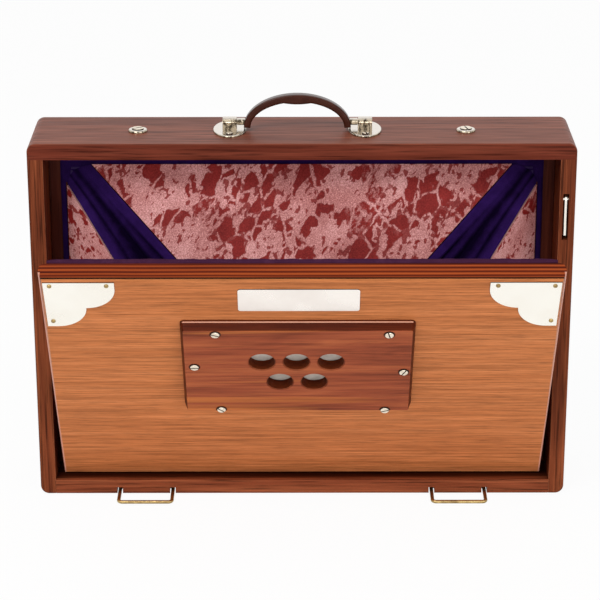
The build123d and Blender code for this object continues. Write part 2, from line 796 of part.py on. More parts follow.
def side_valley():
    width, height = side_card_tip()
    rear = []
    front = []
    for z in (SIDE_CARD_LOW + 6, height - 3):
        x = side_card_width(z) + CLOTH_LAP
        rear.append(placed(rear_side_place(), x, 0, z))
        front.append(placed(front_side_place(), x, 0, z))
    return valley_strip(rear, front, Vector(0.8, 0, 0))


def pan_hem():
    """Cloth strip glued round the bellows on the fixed board, with a patch in each corner."""
    near, far = PAN_FRONT_Y - HEM_T, PAN_FRONT_Y
    high = HEM_TOP_Z - HEM_W
    solid = block(-HEM_OUT, HEM_OUT, near, far, PIVOT_Z - 1, HEM_TOP_Z)
    solid -= block(-HEM_IN, HEM_IN, near - 1, far + 1, PIVOT_Z - 2, high)
    for side in (-1, 1):
        a, b = side * HEM_IN, side * (TOP_CARD_HALF + 2)
        low = SIDE_CARD_HIGH + 2
        solid += block(min(a, b), max(a, b), far - PATCH_T, far, low, high)
    return solid


# Handle


def handle_screw_places():
    xs = (HANDLE_X - HANDLE_HALF, HANDLE_X + HANDLE_HALF)
    return [(x, y) for x in xs for y in (-HANDLE_PLATE_D / 2 + 6, HANDLE_PLATE_D / 2 - 6)]


def handle_plate(side):
    """Oval base plate with an upright post bored for the handle's pin."""
    x = HANDLE_X + side * HANDLE_HALF
    oval = Ellipse(HANDLE_PLATE_W / 2, HANDLE_PLATE_D / 2)
    base = Pos(x, 0, CASE_H) * extrude(oval, HANDLE_PLATE_T)
    base = fillet(base.edges().group_by(Axis.Z)[-1], 0.8)
    post = Pos(x, 0, CASE_H + HANDLE_PLATE_T + POST_H / 2 - 0.1) * Box(POST_W, POST_D, POST_H)
    post = fillet(post.edges().filter_by(Axis.X).group_by(Axis.Z)[-1], POST_D / 2 - 0.4)
    solid = base + post
    deep = x - side * 1.2
    low, high = min(deep, x - side * 8), max(deep, x - side * 8)
    solid -= along_x(HANDLE_PIN_R + PIVOT_CLEARANCE / 2, low, high, 0, HANDLE_PIVOT_Z)
    for px, py in handle_screw_places():
        solid -= Pos(px, py, CASE_H) * Cylinder(SCREW_SHANK_D / 2 + 0.2, 8)
    return solid


def round_head(x, y, seat, radius, height, turn):
    head = Pos(x, y, seat + height / 2) * Cylinder(radius, height)
    head = fillet(head.edges().group_by(Axis.Z)[-1], height * 0.6)
    return head - Pos(x, y, seat + height) * Rot(0, 0, turn) * Box(3 * radius, SLOT_W, height)


def handle_plate_screws():
    seat = CASE_H + HANDLE_PLATE_T
    screws = []
    for (x, y), turn in zip(handle_screw_places(), (15, 70, 110, 40)):
        head = round_head(x, y, seat, 2.6, 1.4, turn)
        screws.append(head + Pos(x, y, seat - 4) * Cylinder(SCREW_SHANK_D / 2, 8))
    return Compound(screws)


def grip_profile():
    """Half-oval arch of the handle with a slight swelling under its middle."""
    outer = Ellipse(GRIP_HALF + GRIP_END_T / 2, GRIP_RISE + GRIP_TOP_T / 2)
    inner = Ellipse(GRIP_HALF - GRIP_END_T / 2, GRIP_RISE - GRIP_TOP_T / 2)
    low = GRIP_RISE - GRIP_TOP_T / 2 - GRIP_SWELL
    swelling = Pos(0, low + GRIP_SWELL_R) * Circle(GRIP_SWELL_R)
    above = Pos(0, CASE_H / 2) * Rectangle(CASE_W, CASE_H)
    return (outer - inner + swelling) & outer & above


def handle_grip():
    across = Plane((HANDLE_X, 0, GRIP_FOOT_Z), x_dir=(1, 0, 0), z_dir=(0, -1, 0))
    solid = extrude(across * grip_profile(), amount=GRIP_W / 2, both=True)
    rims = solid.edges().group_by(Axis.Y)
    solid = fillet(rims[0] + rims[-1], GRIP_EDGE_R)
    for side in (-1, 1):
        solid -= handle_ferrule(side)
    return solid


def handle_ferrule(side):
    """Collar outside the end of the grip, on the pin that turns in the post."""
    low = HANDLE_X + side * (GRIP_HALF - 3)
    high = HANDLE_X + side * (HANDLE_HALF - 1.4)
    pin = along_x(HANDLE_PIN_R, min(low, high), max(low, high), 0, HANDLE_PIVOT_Z)
    near = HANDLE_X + side * (GRIP_HALF + 1.6)
    far = HANDLE_X + side * (HANDLE_HALF - POST_W / 2 - SWING_CLEARANCE)
    return pin + along_x(COLLAR_R, min(near, far), max(near, far), 0, HANDLE_PIVOT_Z)


# Top fittings


def cup_washer(x):
    base = Pos(x, WASHER_Y, CASE_H + WASHER_H / 2) * Cylinder(WASHER_R, WASHER_H)
    base = fillet(base.edges().group_by(Axis.Z)[-1], WASHER_H * 0.8)
    bowl = Pos(x, WASHER_Y, CASE_H + 1.2) * Cone(CUP_SCREW_R / 2 + 0.6, CUP_SCREW_R + 0.4, 2)
    return base - bowl - Pos(x, WASHER_Y, CASE_H) * Cylinder(CUP_SCREW_R / 2 + 0.1, 8)


def cup_screw(x, turn):
    seat = CASE_H + 0.2
    low, high = CUP_SCREW_R / 2 + 0.6, CUP_SCREW_R + 0.4
    taper = Pos(x, WASHER_Y, seat + 1) * Cone(low, high, 2)
    dome = Pos(x, WASHER_Y, seat + 2.2) * Cylinder(high, 0.5)
    head = taper + dome
    head = fillet(head.edges().group_by(Axis.Z)[-1], 0.35)
    head -= Pos(x, WASHER_Y, seat + 2.4) * Rot(0, 0, turn) * Box(14, 1.1, 1.4)
    return head + Pos(x, WASHER_Y, seat - 5) * Cylinder(CUP_SCREW_R / 2, 10.2)


# Feet


def wire_foot(centre):
    """Bent wire foot lying forward on the table, its ends turned in as pivots."""
    half = FOOT_SPREAD / 2
    front = FRONT_Y - FOOT_REACH
    bar_z = WIRE_R + 0.1
    corners = [
        (centre - half + FOOT_PIN, FOOT_PIVOT_Y, FOOT_PIVOT_Z),
        (centre - half, FOOT_PIVOT_Y, FOOT_PIVOT_Z),
        (centre - half, front, bar_z),
        (centre + half, front, bar_z),
        (centre + half, FOOT_PIVOT_Y, FOOT_PIVOT_Z),
        (centre + half - FOOT_PIN, FOOT_PIVOT_Y, FOOT_PIVOT_Z),
    ]
    path = FilletPolyline(*corners, radius=FOOT_BEND_R)
    ring = Plane(path @ 0, z_dir=path % 0) * Circle(WIRE_R)
    return sweep(ring, path=path)


def foot_strap(centre, side):
    """Thin plate set flush under the case that keeps a foot's pivot in its groove."""
    x = centre + side * (FOOT_SPREAD / 2 - 2.6)
    inner = centre + side * (FOOT_SPREAD / 2 - FOOT_PIN - 4.3)
    low, high = min(x, inner), max(x, inner)
    return block(low, high, FOOT_PIVOT_Y - 6, FOOT_PIVOT_Y + 6, 0.1, 1.0)


# Hook


def hook_pivot_y():
    return FRONT_Y + HOOK_W / 2 + 1.2


def hook_pivot_z():
    return HOOK_LOW_Z + HOOK_SLOT_H - HOOK_W / 2 - 1.6


def swing_hook():
    """Flat hook hanging in its slot from a cross pin, with a turned-out finger tip."""
    low, high = HOOK_X - HOOK_T / 2, HOOK_X + HOOK_T / 2
    y, top = hook_pivot_y(), hook_pivot_z()
    foot = HOOK_LOW_Z + 3.4
    solid = block(low, high, y - HOOK_W / 2, y + HOOK_W / 2, foot + 2, top)
    solid += along_x(HOOK_W / 2, low, high, y, top)
    solid += block(low, high, y - HOOK_W / 2 - 0.6, y + 1, foot, foot + 8)
    solid -= block(low - 1, high + 1, y + 1, y + 5, foot + 1, foot + 6)
    return solid - along_x(HOOK_PIN_R + 0.08, low - 1, high + 1, y, top)


def hook_pin():
    return along_x(HOOK_PIN_R, HOOK_X - HOOK_SLOT_W / 2 - 2, HOOK_X + HOOK_SLOT_W / 2 + 2,
                   hook_pivot_y(), hook_pivot_z())


def pieces():
    """Every piece by the name of its node."""
    tones = tone_places()
    rows = {
        "case_top": case_top(),
        "case_bottom": case_bottom(),
        "case_side_left": case_side(),
        "case_side_right": case_side_right(),
        "pan_board": pan_board(),
        "chest_frame": chest_frame(),
        "tone_board": tone_board(),
        "nonreturn_flap": nonreturn_flap(),
        "reeds": Compound([reed(x) for x in tones]),
        "lever_screws": Compound([lever_screw(x) for x in tones]),
        "pan_hem": pan_hem(),
        "hinge_batten": hinge_batten(),
        "hinge_leaves_case": Compound([hinge_leaf_case(x) for x in (-HINGE_X, HINGE_X)]),
        "cup_washers": Compound([cup_washer(x) for x in (-WASHER_X, WASHER_X)]),
        "cup_screws": Compound([cup_screw(-WASHER_X, 30), cup_screw(WASHER_X, 105)]),
        "handle_plates": Compound([handle_plate(-1), handle_plate(1)]),
        "handle_plate_screws": handle_plate_screws(),
        "foot_straps": Compound([foot_strap(c, s) for c in (-FOOT_X, FOOT_X) for s in (-1, 1)]),
        "hook_pin": hook_pin(),
        "handle_grip": handle_grip(),
        "handle_ferrules": Compound([handle_ferrule(-1), handle_ferrule(1)]),
        "foot_left": wire_foot(-FOOT_X),
        "foot_right": wire_foot(FOOT_X),
        "swing_hook": swing_hook(),
        "pump_rail_top": pump_rail_top(),
        "pump_rail_bottom": pump_rail_bottom(),
        "pump_stile_left": pump_stile_left(),
        "pump_stile_right": pump_stile_right(),
        "pump_skin": pump_skin(),
        "valve_plate": valve_plate(),
        "valve_plate_screws": valve_plate_screws(),
        "intake_flap": intake_flap(),
        "nameplate": nameplate(),
        "corner_plates": corner_plates(),
        "corner_pins": opened(Compound([corner_pin(x, z) for x, z in corner_pin_places()])),
        "pump_hem": pump_hem(),
        "hinge_leaves_board": opened(
            Compound([hinge_leaf_board(x) for x in (-HINGE_X, HINGE_X)])
        ),
        "bellows_top_rear": rear_top_place() * top_card(),
        "bellows_top_front": front_top_place() * top_card(),
        "bellows_side_rear_left": rear_side_place() * side_card(),
        "bellows_side_rear_right": mirrored(rear_side_place() * side_card()),
        "bellows_side_front_left": front_side_place() * side_card(),
        "bellows_side_front_right": mirrored(front_side_place() * side_card()),
        "gusset_left": gusset_left(),
        "gusset_right": mirrored(gusset_left()),
        "valley_cloth": Compound([top_valley(), side_valley(), mirrored(side_valley())]),
    }
    for number, x in enumerate(tones, 1):
        rows[f"tone_lever_{number}"] = lever(x)
    return rows


for name, shape in pieces().items():
    export_step(shape, f"parts/{name}.step")
    print(name, len(shape.solids()), "solids")
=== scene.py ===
import bpy
import math
from mathutils import Matrix, Vector, noise


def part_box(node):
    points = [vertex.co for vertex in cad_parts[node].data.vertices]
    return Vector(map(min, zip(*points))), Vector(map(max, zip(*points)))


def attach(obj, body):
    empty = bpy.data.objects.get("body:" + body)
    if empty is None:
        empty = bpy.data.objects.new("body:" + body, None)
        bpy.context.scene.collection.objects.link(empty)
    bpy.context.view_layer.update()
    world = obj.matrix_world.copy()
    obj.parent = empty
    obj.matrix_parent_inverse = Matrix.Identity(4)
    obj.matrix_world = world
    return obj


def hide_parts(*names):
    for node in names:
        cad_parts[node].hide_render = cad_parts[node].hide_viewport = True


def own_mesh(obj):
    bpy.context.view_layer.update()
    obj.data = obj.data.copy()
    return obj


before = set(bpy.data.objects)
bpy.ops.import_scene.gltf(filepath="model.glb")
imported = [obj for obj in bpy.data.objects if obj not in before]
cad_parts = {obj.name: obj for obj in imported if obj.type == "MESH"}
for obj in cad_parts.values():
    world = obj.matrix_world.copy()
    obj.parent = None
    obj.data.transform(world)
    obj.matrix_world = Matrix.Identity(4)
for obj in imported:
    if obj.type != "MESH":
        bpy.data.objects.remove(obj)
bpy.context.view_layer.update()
scene = bpy.context.scene
scene.view_settings.view_transform = "Standard"

# Sizes and places on the box, in metres

MM = 0.001
FRONT_Y = -37.5 * MM
PIVOT = Vector((0, FRONT_Y + 24.4 * MM, 22.6 * MM))
PAN_Y = FRONT_Y + 36 * MM
OPEN = math.radians(32.2)
BOARD_OUT = Vector((0, -math.cos(OPEN), -math.sin(OPEN)))
BOARD_UP = Vector((0, -math.sin(OPEN), math.cos(OPEN)))
BOARD_H = 242 * MM
BOARD_T = 16 * MM
BOARD_HALF = 185 * MM
BEVEL_FOOT = 1.3 * MM
BEVEL_SPREAD = 7.06 / 242
LAYER_PAIR = 3.4 * MM
FRONT_GAP_SHADE = 3.2 * MM
HEM_HALF = 179.5 * MM
PLATE_MIDDLE = (93.6 + 103.8 / 2) * MM
PLATE_TOP = 197 * MM
SCREW_CROWN = 8.4 * MM
TOP_SLOT_FLOOR = 285.3 * MM
FRONT_SLOT_FLOOR = 9 * MM
FLAP_HALF = 52 * MM
FLAP_HIGH = 54 * MM
TOP_FOLD_Z = 257 * MM
FRONT_DROP = 1.2 * MM
TOP_FOLD = math.radians(26.5)
TOP_HALF = 158 * MM
TOP_CUT = 0.895
TOP_DEPTH = 96 * MM
SIDE_X = 176.6 * MM
SIDE_FOLD = math.radians(43)
SIDE_HIGH = 240.8 * MM
SIDE_LOW = 32 * MM
SIDE_TIP = (60.34 * MM, 188.3 * MM)
SIDE_FOOT = 4 * MM
SIDE_SPREAD = 0.34
FOLD_OFFSET = 1.4 * MM
BINDING_OUT = 181.8 * MM
BINDING_IN = 178.3 * MM
BINDING_LOW = 21.6 * MM
BINDING_HIGH = 265.4 * MM
TOP_BINDING_LOW = 256.2 * MM
PATCH_CORNER = (159.5 * MM, 242.8 * MM)

# Valve plate screws, in millimetres across and up the pump board

SCREW_PLACES = ((-62.1, 191), (62.1, 190.6), (-78.2, 151.4), (73.8, 145), (-60, 97.6), (61.4, 96.6))

# The cloth as it is cut, width and length in metres, and how thick it is

PATCH_CUT = (0.0188, 0.02)
CLOTH_THICK = 0.7 * MM

# Camera, room and floor

LENS = 139.23
CAMERA_PLACE = (-0.002, -1.6748, 0.7731)
CAMERA_TURN, CAMERA_DOWN, CAMERA_ROLL = -0.016, 20.502, -0.055
ROOM_LEVEL = 0.56
FLOOR_GLOW = 0.94
BOX_MIDDLE = 0.14


# Camera, light and floor


def set_camera():
    data = bpy.data.cameras.new("camera")
    data.lens = LENS
    data.sensor_width = 36
    data.clip_start = 0.05
    data.clip_end = 60
    camera = bpy.data.objects.new("camera", data)
    scene.collection.objects.link(camera)
    turn = Matrix.Rotation(math.radians(CAMERA_TURN), 4, "Z")
    turn = turn @ Matrix.Rotation(math.radians(90 - CAMERA_DOWN), 4, "X")
    turn = turn @ Matrix.Rotation(math.radians(CAMERA_ROLL), 4, "Z")
    camera.matrix_world = Matrix.Translation(CAMERA_PLACE) @ turn
    scene.camera = camera


def add_softbox(name, place, aim, size, power):
    data = bpy.data.lights.new(name, "AREA")
    data.shape = "RECTANGLE"
    data.size, data.size_y = size
    data.energy = power
    lamp = bpy.data.objects.new(name, data)
    scene.collection.objects.link(lamp)
    lamp.location = place
    away = Vector(place) - Vector(aim)
    lamp.rotation_euler = away.to_track_quat("Z", "Y").to_euler()


def seen_directly(tree):
    """1 for camera, mirror and see-through rays, 0 for the rays that only light the box."""
    path = tree.nodes.new("ShaderNodeLightPath")
    seen = path.outputs["Is Camera Ray"]
    for ray in ("Is Glossy Ray", "Is Transmission Ray"):
        either = tree.nodes.new("ShaderNodeMath")
        either.operation = "MAXIMUM"
        tree.links.new(seen, either.inputs[0])
        tree.links.new(path.outputs[ray], either.inputs[1])
        seen = either.outputs[0]
    return seen


def set_light():
    world = bpy.data.worlds.new("studio")
    scene.world = world
    world.use_nodes = True
    tree = world.node_tree
    back = tree.nodes["Background"]
    back.inputs["Color"].default_value = (1, 1, 1, 1)
    strength = tree.nodes.new("ShaderNodeMapRange")
    tree.links.new(seen_directly(tree), strength.inputs["Value"])
    strength.inputs["To Min"].default_value = ROOM_LEVEL
    strength.inputs["To Max"].default_value = 1.0
    tree.links.new(strength.outputs["Result"], back.inputs["Strength"])
    add_softbox("key", (-0.8, -1.4, 1.9), (0, 0, 0.15), (1.0, 0.8), 23)
    add_softbox("fill", (1.4, -1.7, 0.9), (0, 0, 0.12), (1.1, 1.1), 8)
    add_softbox("front", (0, -2.3, 0.12), (0, 0, 0.13), (2.2, 0.5), 15)


def set_floor():
    bpy.ops.mesh.primitive_plane_add(size=14, location=(0, 3, 0))
    floor = bpy.context.object
    floor.name = "floor"
    t = Finish("floor paper")
    tone = t.ramp(t.noise(t.place(), 6, 4), [(0.3, 0.94), (0.7, 0.97)])
    t.surface(tone, 0.8, gloss=0.1)
    glow = t.node("ShaderNodeEmission")
    both = t.node("ShaderNodeMixShader")
    share = t.math("MULTIPLY", seen_directly(t.tree), FLOOR_GLOW)
    t.tree.links.new(share, both.inputs[0])
    t.tree.links.new(t.shader.outputs[0], both.inputs[1])
    t.tree.links.new(glow.outputs[0], both.inputs[2])
    t.tree.links.new(both.outputs[0], t.tree.nodes["Material Output"].inputs[0])
    floor.data.materials.append(t.material)


# Finishes


class Finish:
    """One material and short calls that add its nodes."""

    def __init__(self, name):
        self.material = bpy.data.materials.new(name)
        self.material.use_nodes = True
        self.tree = self.material.node_tree
        self.shader = self.tree.nodes["Principled BSDF"]

    def node(self, kind, **settings):
        made = self.tree.nodes.new(kind)
        for key, value in settings.items():
            setattr(made, key, value)
        return made

    def feed(self, socket, value):
        if isinstance(value, bpy.types.NodeSocket):
            self.tree.links.new(value, socket)
        elif hasattr(value, "__len__") and len(value) == 3 and len(socket.default_value) == 4:
            socket.default_value = (*value, 1)
        else:
            socket.default_value = value

    def place(self, scale=(1, 1, 1), shift=(0, 0, 0), turn=(0, 0, 0)):
        """Place on the box: shifted, then turned, then stretched."""
        vector = self.node("ShaderNodeTexCoord").outputs["Object"]
        for key, value, rest in (
            ("Location", shift, (0, 0, 0)),
            ("Rotation", turn, (0, 0, 0)),
            ("Scale", scale, (1, 1, 1)),
        ):
            if tuple(value) != rest:
                step = self.node("ShaderNodeMapping")
                self.feed(step.inputs["Vector"], vector)
                step.inputs[key].default_value = value
                vector = step.outputs[0]
        return vector

    def noise(self, vector, scale, detail=3, rough=0.55, distort=0.0, out="Fac"):
        made = self.node("ShaderNodeTexNoise")
        self.feed(made.inputs["Vector"], vector)
        self.feed(made.inputs["Scale"], scale)
        self.feed(made.inputs["Detail"], detail)
        self.feed(made.inputs["Roughness"], rough)
        self.feed(made.inputs["Distortion"], distort)
        return made.outputs[out]

    def cells(self, vector, scale, feature="F1", out="Distance"):
        made = self.node("ShaderNodeTexVoronoi", feature=feature)
        self.feed(made.inputs["Vector"], vector)
        self.feed(made.inputs["Scale"], scale)
        return made.outputs[out]

    def ramp(self, factor, stops):
        made = self.node("ShaderNodeValToRGB")
        self.feed(made.inputs["Fac"], factor)
        points = made.color_ramp.elements
        while len(points) < len(stops):
            points.new(0.5)
        for point, (at, colour) in zip(points, stops):
            point.position = at
            shade = (colour,) * 3 if isinstance(colour, (int, float)) else colour
            point.color = (*shade, 1)
        return made.outputs["Color"]

    def mix(self, factor, a, b, blend="MIX"):
        made = self.node("ShaderNodeMix", data_type="RGBA", blend_type=blend)
        self.feed(made.inputs[0], factor)
        self.feed(made.inputs[6], a)
        self.feed(made.inputs[7], b)
        return made.outputs[2]

    def tinted(self, share, colour, tint):
        """The colour deepened by a tint where share is 1."""
        return self.mix(share, colour, self.mix(1.0, colour, tint, "MULTIPLY"))

    def math(self, operation, a, b=0.0, c=0.0):
        made = self.node("ShaderNodeMath", operation=operation)
        for socket, value in zip(made.inputs, (a, b, c)):
            self.feed(socket, value)
        return made.outputs[0]

    def part(self, vector, axis):
        made = self.node("ShaderNodeSeparateXYZ")
        self.feed(made.inputs[0], vector)
        return made.outputs[axis]

    def along(self, vector, direction):
        """How far a vector reaches along a fixed direction."""
        made = self.node("ShaderNodeVectorMath", operation="DOT_PRODUCT")
        self.feed(made.inputs[0], vector)
        made.inputs[1].default_value = direction
        return made.outputs["Value"]

    def facing(self, direction):
        """1 where the surface faces a fixed direction on the box, 0 or less elsewhere."""
        return self.along(self.node("ShaderNodeTexCoord").outputs["Normal"], direction)

    def step(self, value, start, end):
        """0 at start, 1 at end, held beyond both."""
        made = self.node("ShaderNodeMapRange")
        self.feed(made.inputs["Value"], value)
        made.inputs["From Min"].default_value = start
        made.inputs["From Max"].default_value = end
        return made.outputs["Result"]

    def pushed(self, vector, amount, scale, detail=3):
        """The place pushed about by coloured noise."""
        push = self.noise(vector, scale, detail, out="Color")
        centred = self.node("ShaderNodeVectorMath", operation="SUBTRACT")
        self.feed(centred.inputs[0], push)
        centred.inputs[1].default_value = (0.5, 0.5, 0.5)
        grown = self.node("ShaderNodeVectorMath", operation="SCALE")
        self.feed(grown.inputs[0], centred.outputs[0])
        self.feed(grown.inputs["Scale"], amount)
        added = self.node("ShaderNodeVectorMath", operation="ADD")
        self.feed(added.inputs[0], vector)
        self.feed(added.inputs[1], grown.outputs[0])
        return added.outputs[0]

    def relief(self, height, strength, distance=0.0002):
        made = self.node("ShaderNodeBump")
        self.feed(made.inputs["Height"], height)
        self.feed(made.inputs["Strength"], strength)
        self.feed(made.inputs["Distance"], distance)
        self.feed(self.shader.inputs["Normal"], made.outputs[0])

    def surface(self, colour, rough, metal=0.0, gloss=0.5):
        self.feed(self.shader.inputs["Base Color"], colour)
        self.feed(self.shader.inputs["Roughness"], rough)
        self.shader.inputs["Metallic"].default_value = metal
        self.shader.inputs["Specular IOR Level"].default_value = gloss


def grain(t, axis, seed, band):
    """Broad bands, streaks and fibres that follow one axis, each from 0 to 1."""
    along = {"X": 0, "Y": 1, "Z": 2}[axis]
    shift = (seed, seed * 0.7, seed * 1.3)

    def stretched(across, length):
        scale = [across] * 3
        scale[along] = length
        return t.place(scale, shift)

    broad = t.noise(stretched(30 * band, 2.8), 1.0, 5, 0.62, 1.1)
    streak = t.noise(stretched(150 * band, 5.0), 1.0, 4, 0.6, 0.4)
    fibre = t.noise(stretched(700, 22.0), 1.0, 3, 0.6)
    return broad, streak, fibre


def wood_colour(t, tones, axis, seed, band=1.0, lines=0.6, streaky=0.5):
    """Three tones of one wood, dark to light, with its dark pores, and the fibres for relief."""
    broad, streak, fibre = grain(t, axis, seed, band)
    body = t.math("MULTIPLY_ADD", streak, streaky, t.math("MULTIPLY", broad, 1 - streaky))
    colour = t.ramp(body, [(0.36, tones[0]), (0.5, tones[1]), (0.64, tones[2])])
    pores = t.ramp(fibre, [(0.34, 0.42), (0.46, 0.93), (0.66, 1.22)])
    return t.tinted(lines, colour, pores), fibre


def wood(name, tones, axis, seed):
    """Straight-grained oiled wood; axis is the one that its fibres follow."""
    t = Finish(name)
    colour, fibre = wood_colour(t, tones, axis, seed)
    t.relief(fibre, 0.15)
    t.surface(colour, t.ramp(fibre, [(0.3, 0.57), (0.6, 0.45)]), gloss=0.06)
    return t.material


def pale_bevel(t, colour):
    """Pale colour along the planed bevel down each side of the pump board."""
    place = t.place(shift=tuple(-PIVOT))
    across = t.math("ABSOLUTE", t.part(place, 0))
    height = t.along(place, BOARD_UP)
    depth = t.math("SUBTRACT", BOARD_T, t.along(place, BOARD_OUT))
    line = t.math("MULTIPLY_ADD", height, BEVEL_SPREAD, BEVEL_FOOT)
    near = t.step(across, BOARD_HALF - 1.6 * MM, BOARD_HALF - 1.2 * MM)
    on_bevel = t.step(t.math("SUBTRACT", line, depth), -0.1 * MM, 0.2 * MM)
    mask = t.math("MULTIPLY", near, on_bevel)
    return t.mix(mask, colour, (0.62, 0.29, 0.21))


def stile_wood(name, tones, seed):
    t = Finish(name)
    colour, fibre = wood_colour(t, tones, "X", seed)
    t.relief(fibre, 0.15)
    t.surface(pale_bevel(t, colour), 0.5, gloss=0.05)
    return t.material


def veneer(name, tones):
    """Fine even teak veneer of the pump board's front, with short dark pores."""
    t = Finish(name)
    colour, fibre = wood_colour(t, tones, "X", 2.3, 2.4, 0.45, 0.55)
    lines = t.noise(t.place((5, 430, 430), (3, 1, 2)), 1.0, 5, 0.75)
    streaks = t.ramp(lines, [(0.34, 0.56), (0.47, 0.98), (0.7, 1.16)])
    colour = t.tinted(0.62, colour, streaks)
    dashes = t.noise(t.place((42, 1000, 1000)), 1.0, 3, 0.8)
    pores = t.ramp(dashes, [(0.32, 0.48), (0.46, 0.95), (0.68, 1.22)])
    colour = t.tinted(0.7, colour, pores)
    t.relief(t.mix(0.5, fibre, dashes), 0.12)
    t.surface(pale_bevel(t, colour), 0.46, gloss=0.06)
    return t.material


def layered_rail(name):
    """Top edge of the pump board: thin light and dark layers along its length, and a painted shadow along
    its front.
    """
    t = Finish(name)
    place = t.place(shift=tuple(-PIVOT))
    depth = t.math("SUBTRACT", BOARD_T, t.along(place, BOARD_OUT))
    fine = t.noise(t.place((5, 420, 420)), 1.0, 4)
    wander = t.noise(t.place((7, 7, 7)), 1.0, 2)
    shifted = t.math("MULTIPLY_ADD", wander, 1.6 * MM, depth)
    wave = t.math("SINE", t.math("MULTIPLY", shifted, 2 * math.pi / LAYER_PAIR))
    value = t.math("MULTIPLY_ADD", wave, 0.22, t.math("MULTIPLY_ADD", fine, 0.6, 0.26))
    layers = [(0.26, (0.026, 0.003, 0.002)), (0.5, (0.150, 0.020, 0.006)), (0.8, (0.36, 0.070, 0.016))]
    colour = t.ramp(value, layers)
    # Painted shadow: the wood nearest the front face is darkened as the shaded gap between rail and veneer.
    gap_shade = t.step(depth, FRONT_GAP_SHADE + 1.0 * MM, FRONT_GAP_SHADE)
    colour = t.mix(gap_shade, colour, (0.012, 0.004, 0.003))
    t.relief(fine, 0.12)
    t.surface(pale_bevel(t, colour), 0.42, gloss=0.05)
    return t.material


def worn_arrises(t, colour):
    """Rubbed, paler wood along the case's front edges that face into its opening."""
    normal = t.node("ShaderNodeTexCoord").outputs["Normal"]
    place = t.place(shift=(0, 0, -BOX_MIDDLE))
    sideways = t.math("MULTIPLY", t.part(normal, 0), t.math("SIGN", t.part(place, 0)))
    upright = t.math("MULTIPLY", t.part(normal, 2), t.math("SIGN", t.part(place, 2)))
    inward = t.math("MULTIPLY", t.math("MINIMUM", sideways, upright), -1.0)
    both = t.math("MULTIPLY", inward, t.math("MULTIPLY", t.part(normal, 1), -1.0))
    rubbed = t.ramp(t.noise(t.place(), 90, 3), [(0.35, 0.25), (0.65, 0.85)])
    mask = t.math("MULTIPLY", t.step(both, 0.28, 0.46), rubbed)
    return t.mix(mask, colour, (0.36, 0.125, 0.058))


def case_side_wood(name, tones, seed):
    """Case sides: upright grain, with painted shade darkening the faces that look into the box."""
    t = Finish(name)
    colour, fibre = wood_colour(t, tones, "Z", seed, 1.7, 1.0, 0.55)
    place = t.place()
    # Painted shade: faces turned into the box take a darker tint.
    facing_in = t.math("MULTIPLY", t.facing((-1, 0, 0)), t.math("SIGN", t.part(place, 0)))
    inner = t.step(facing_in, 0.6, 0.95)
    colour = t.tinted(inner, colour, (0.66, 0.54, 0.50))
    colour = worn_arrises(t, colour)
    t.relief(fibre, 0.2)
    t.surface(colour, 0.48, gloss=0.05)
    return t.material


def case_top_wood(name, tones, seed):
    """Case top: oiled upper face with a soft sheen, and painted shade on its front edge, which also gets
    less gloss.
    """
    t = Finish(name)
    colour, fibre = wood_colour(t, tones, "X", seed, 1.7, 0.9, 0.45)
    # Painted shade: the face turned to the front is darkened and its gloss lowered.
    front = t.step(t.facing((0, -1, 0)), 0.4, 0.8)
    colour = t.tinted(front, colour, (0.62, 0.48, 0.50))
    colour = worn_arrises(t, colour)
    t.relief(fibre, 0.2)
    t.surface(colour, t.ramp(fibre, [(0.3, 0.5), (0.6, 0.4)]), gloss=0.3)
    t.feed(t.shader.inputs["Specular IOR Level"], t.ramp(front, [(0.0, 0.17), (1.0, 0.04)]))
    return t.material


def case_bottom_wood(name, tones, seed):
    """Case bottom: painted shade inside the opening, behind its front edge."""
    t = Finish(name)
    colour, fibre = wood_colour(t, tones, "X", seed, 1.7, 1.0)
    # Painted shade: up-facing wood behind the front edge, under the pump board, is darkened.
    behind = t.step(t.part(t.place(), 1), FRONT_Y + 2 * MM, FRONT_Y + 7 * MM)
    inside = t.math("MULTIPLY", behind, t.step(t.facing((0, 0, 1)), 0.4, 0.8))
    colour = t.tinted(inside, colour, (0.22, 0.16, 0.14))
    colour = worn_arrises(t, colour)
    t.relief(fibre, 0.2)
    t.surface(colour, 0.5, gloss=0.05)
    return t.material


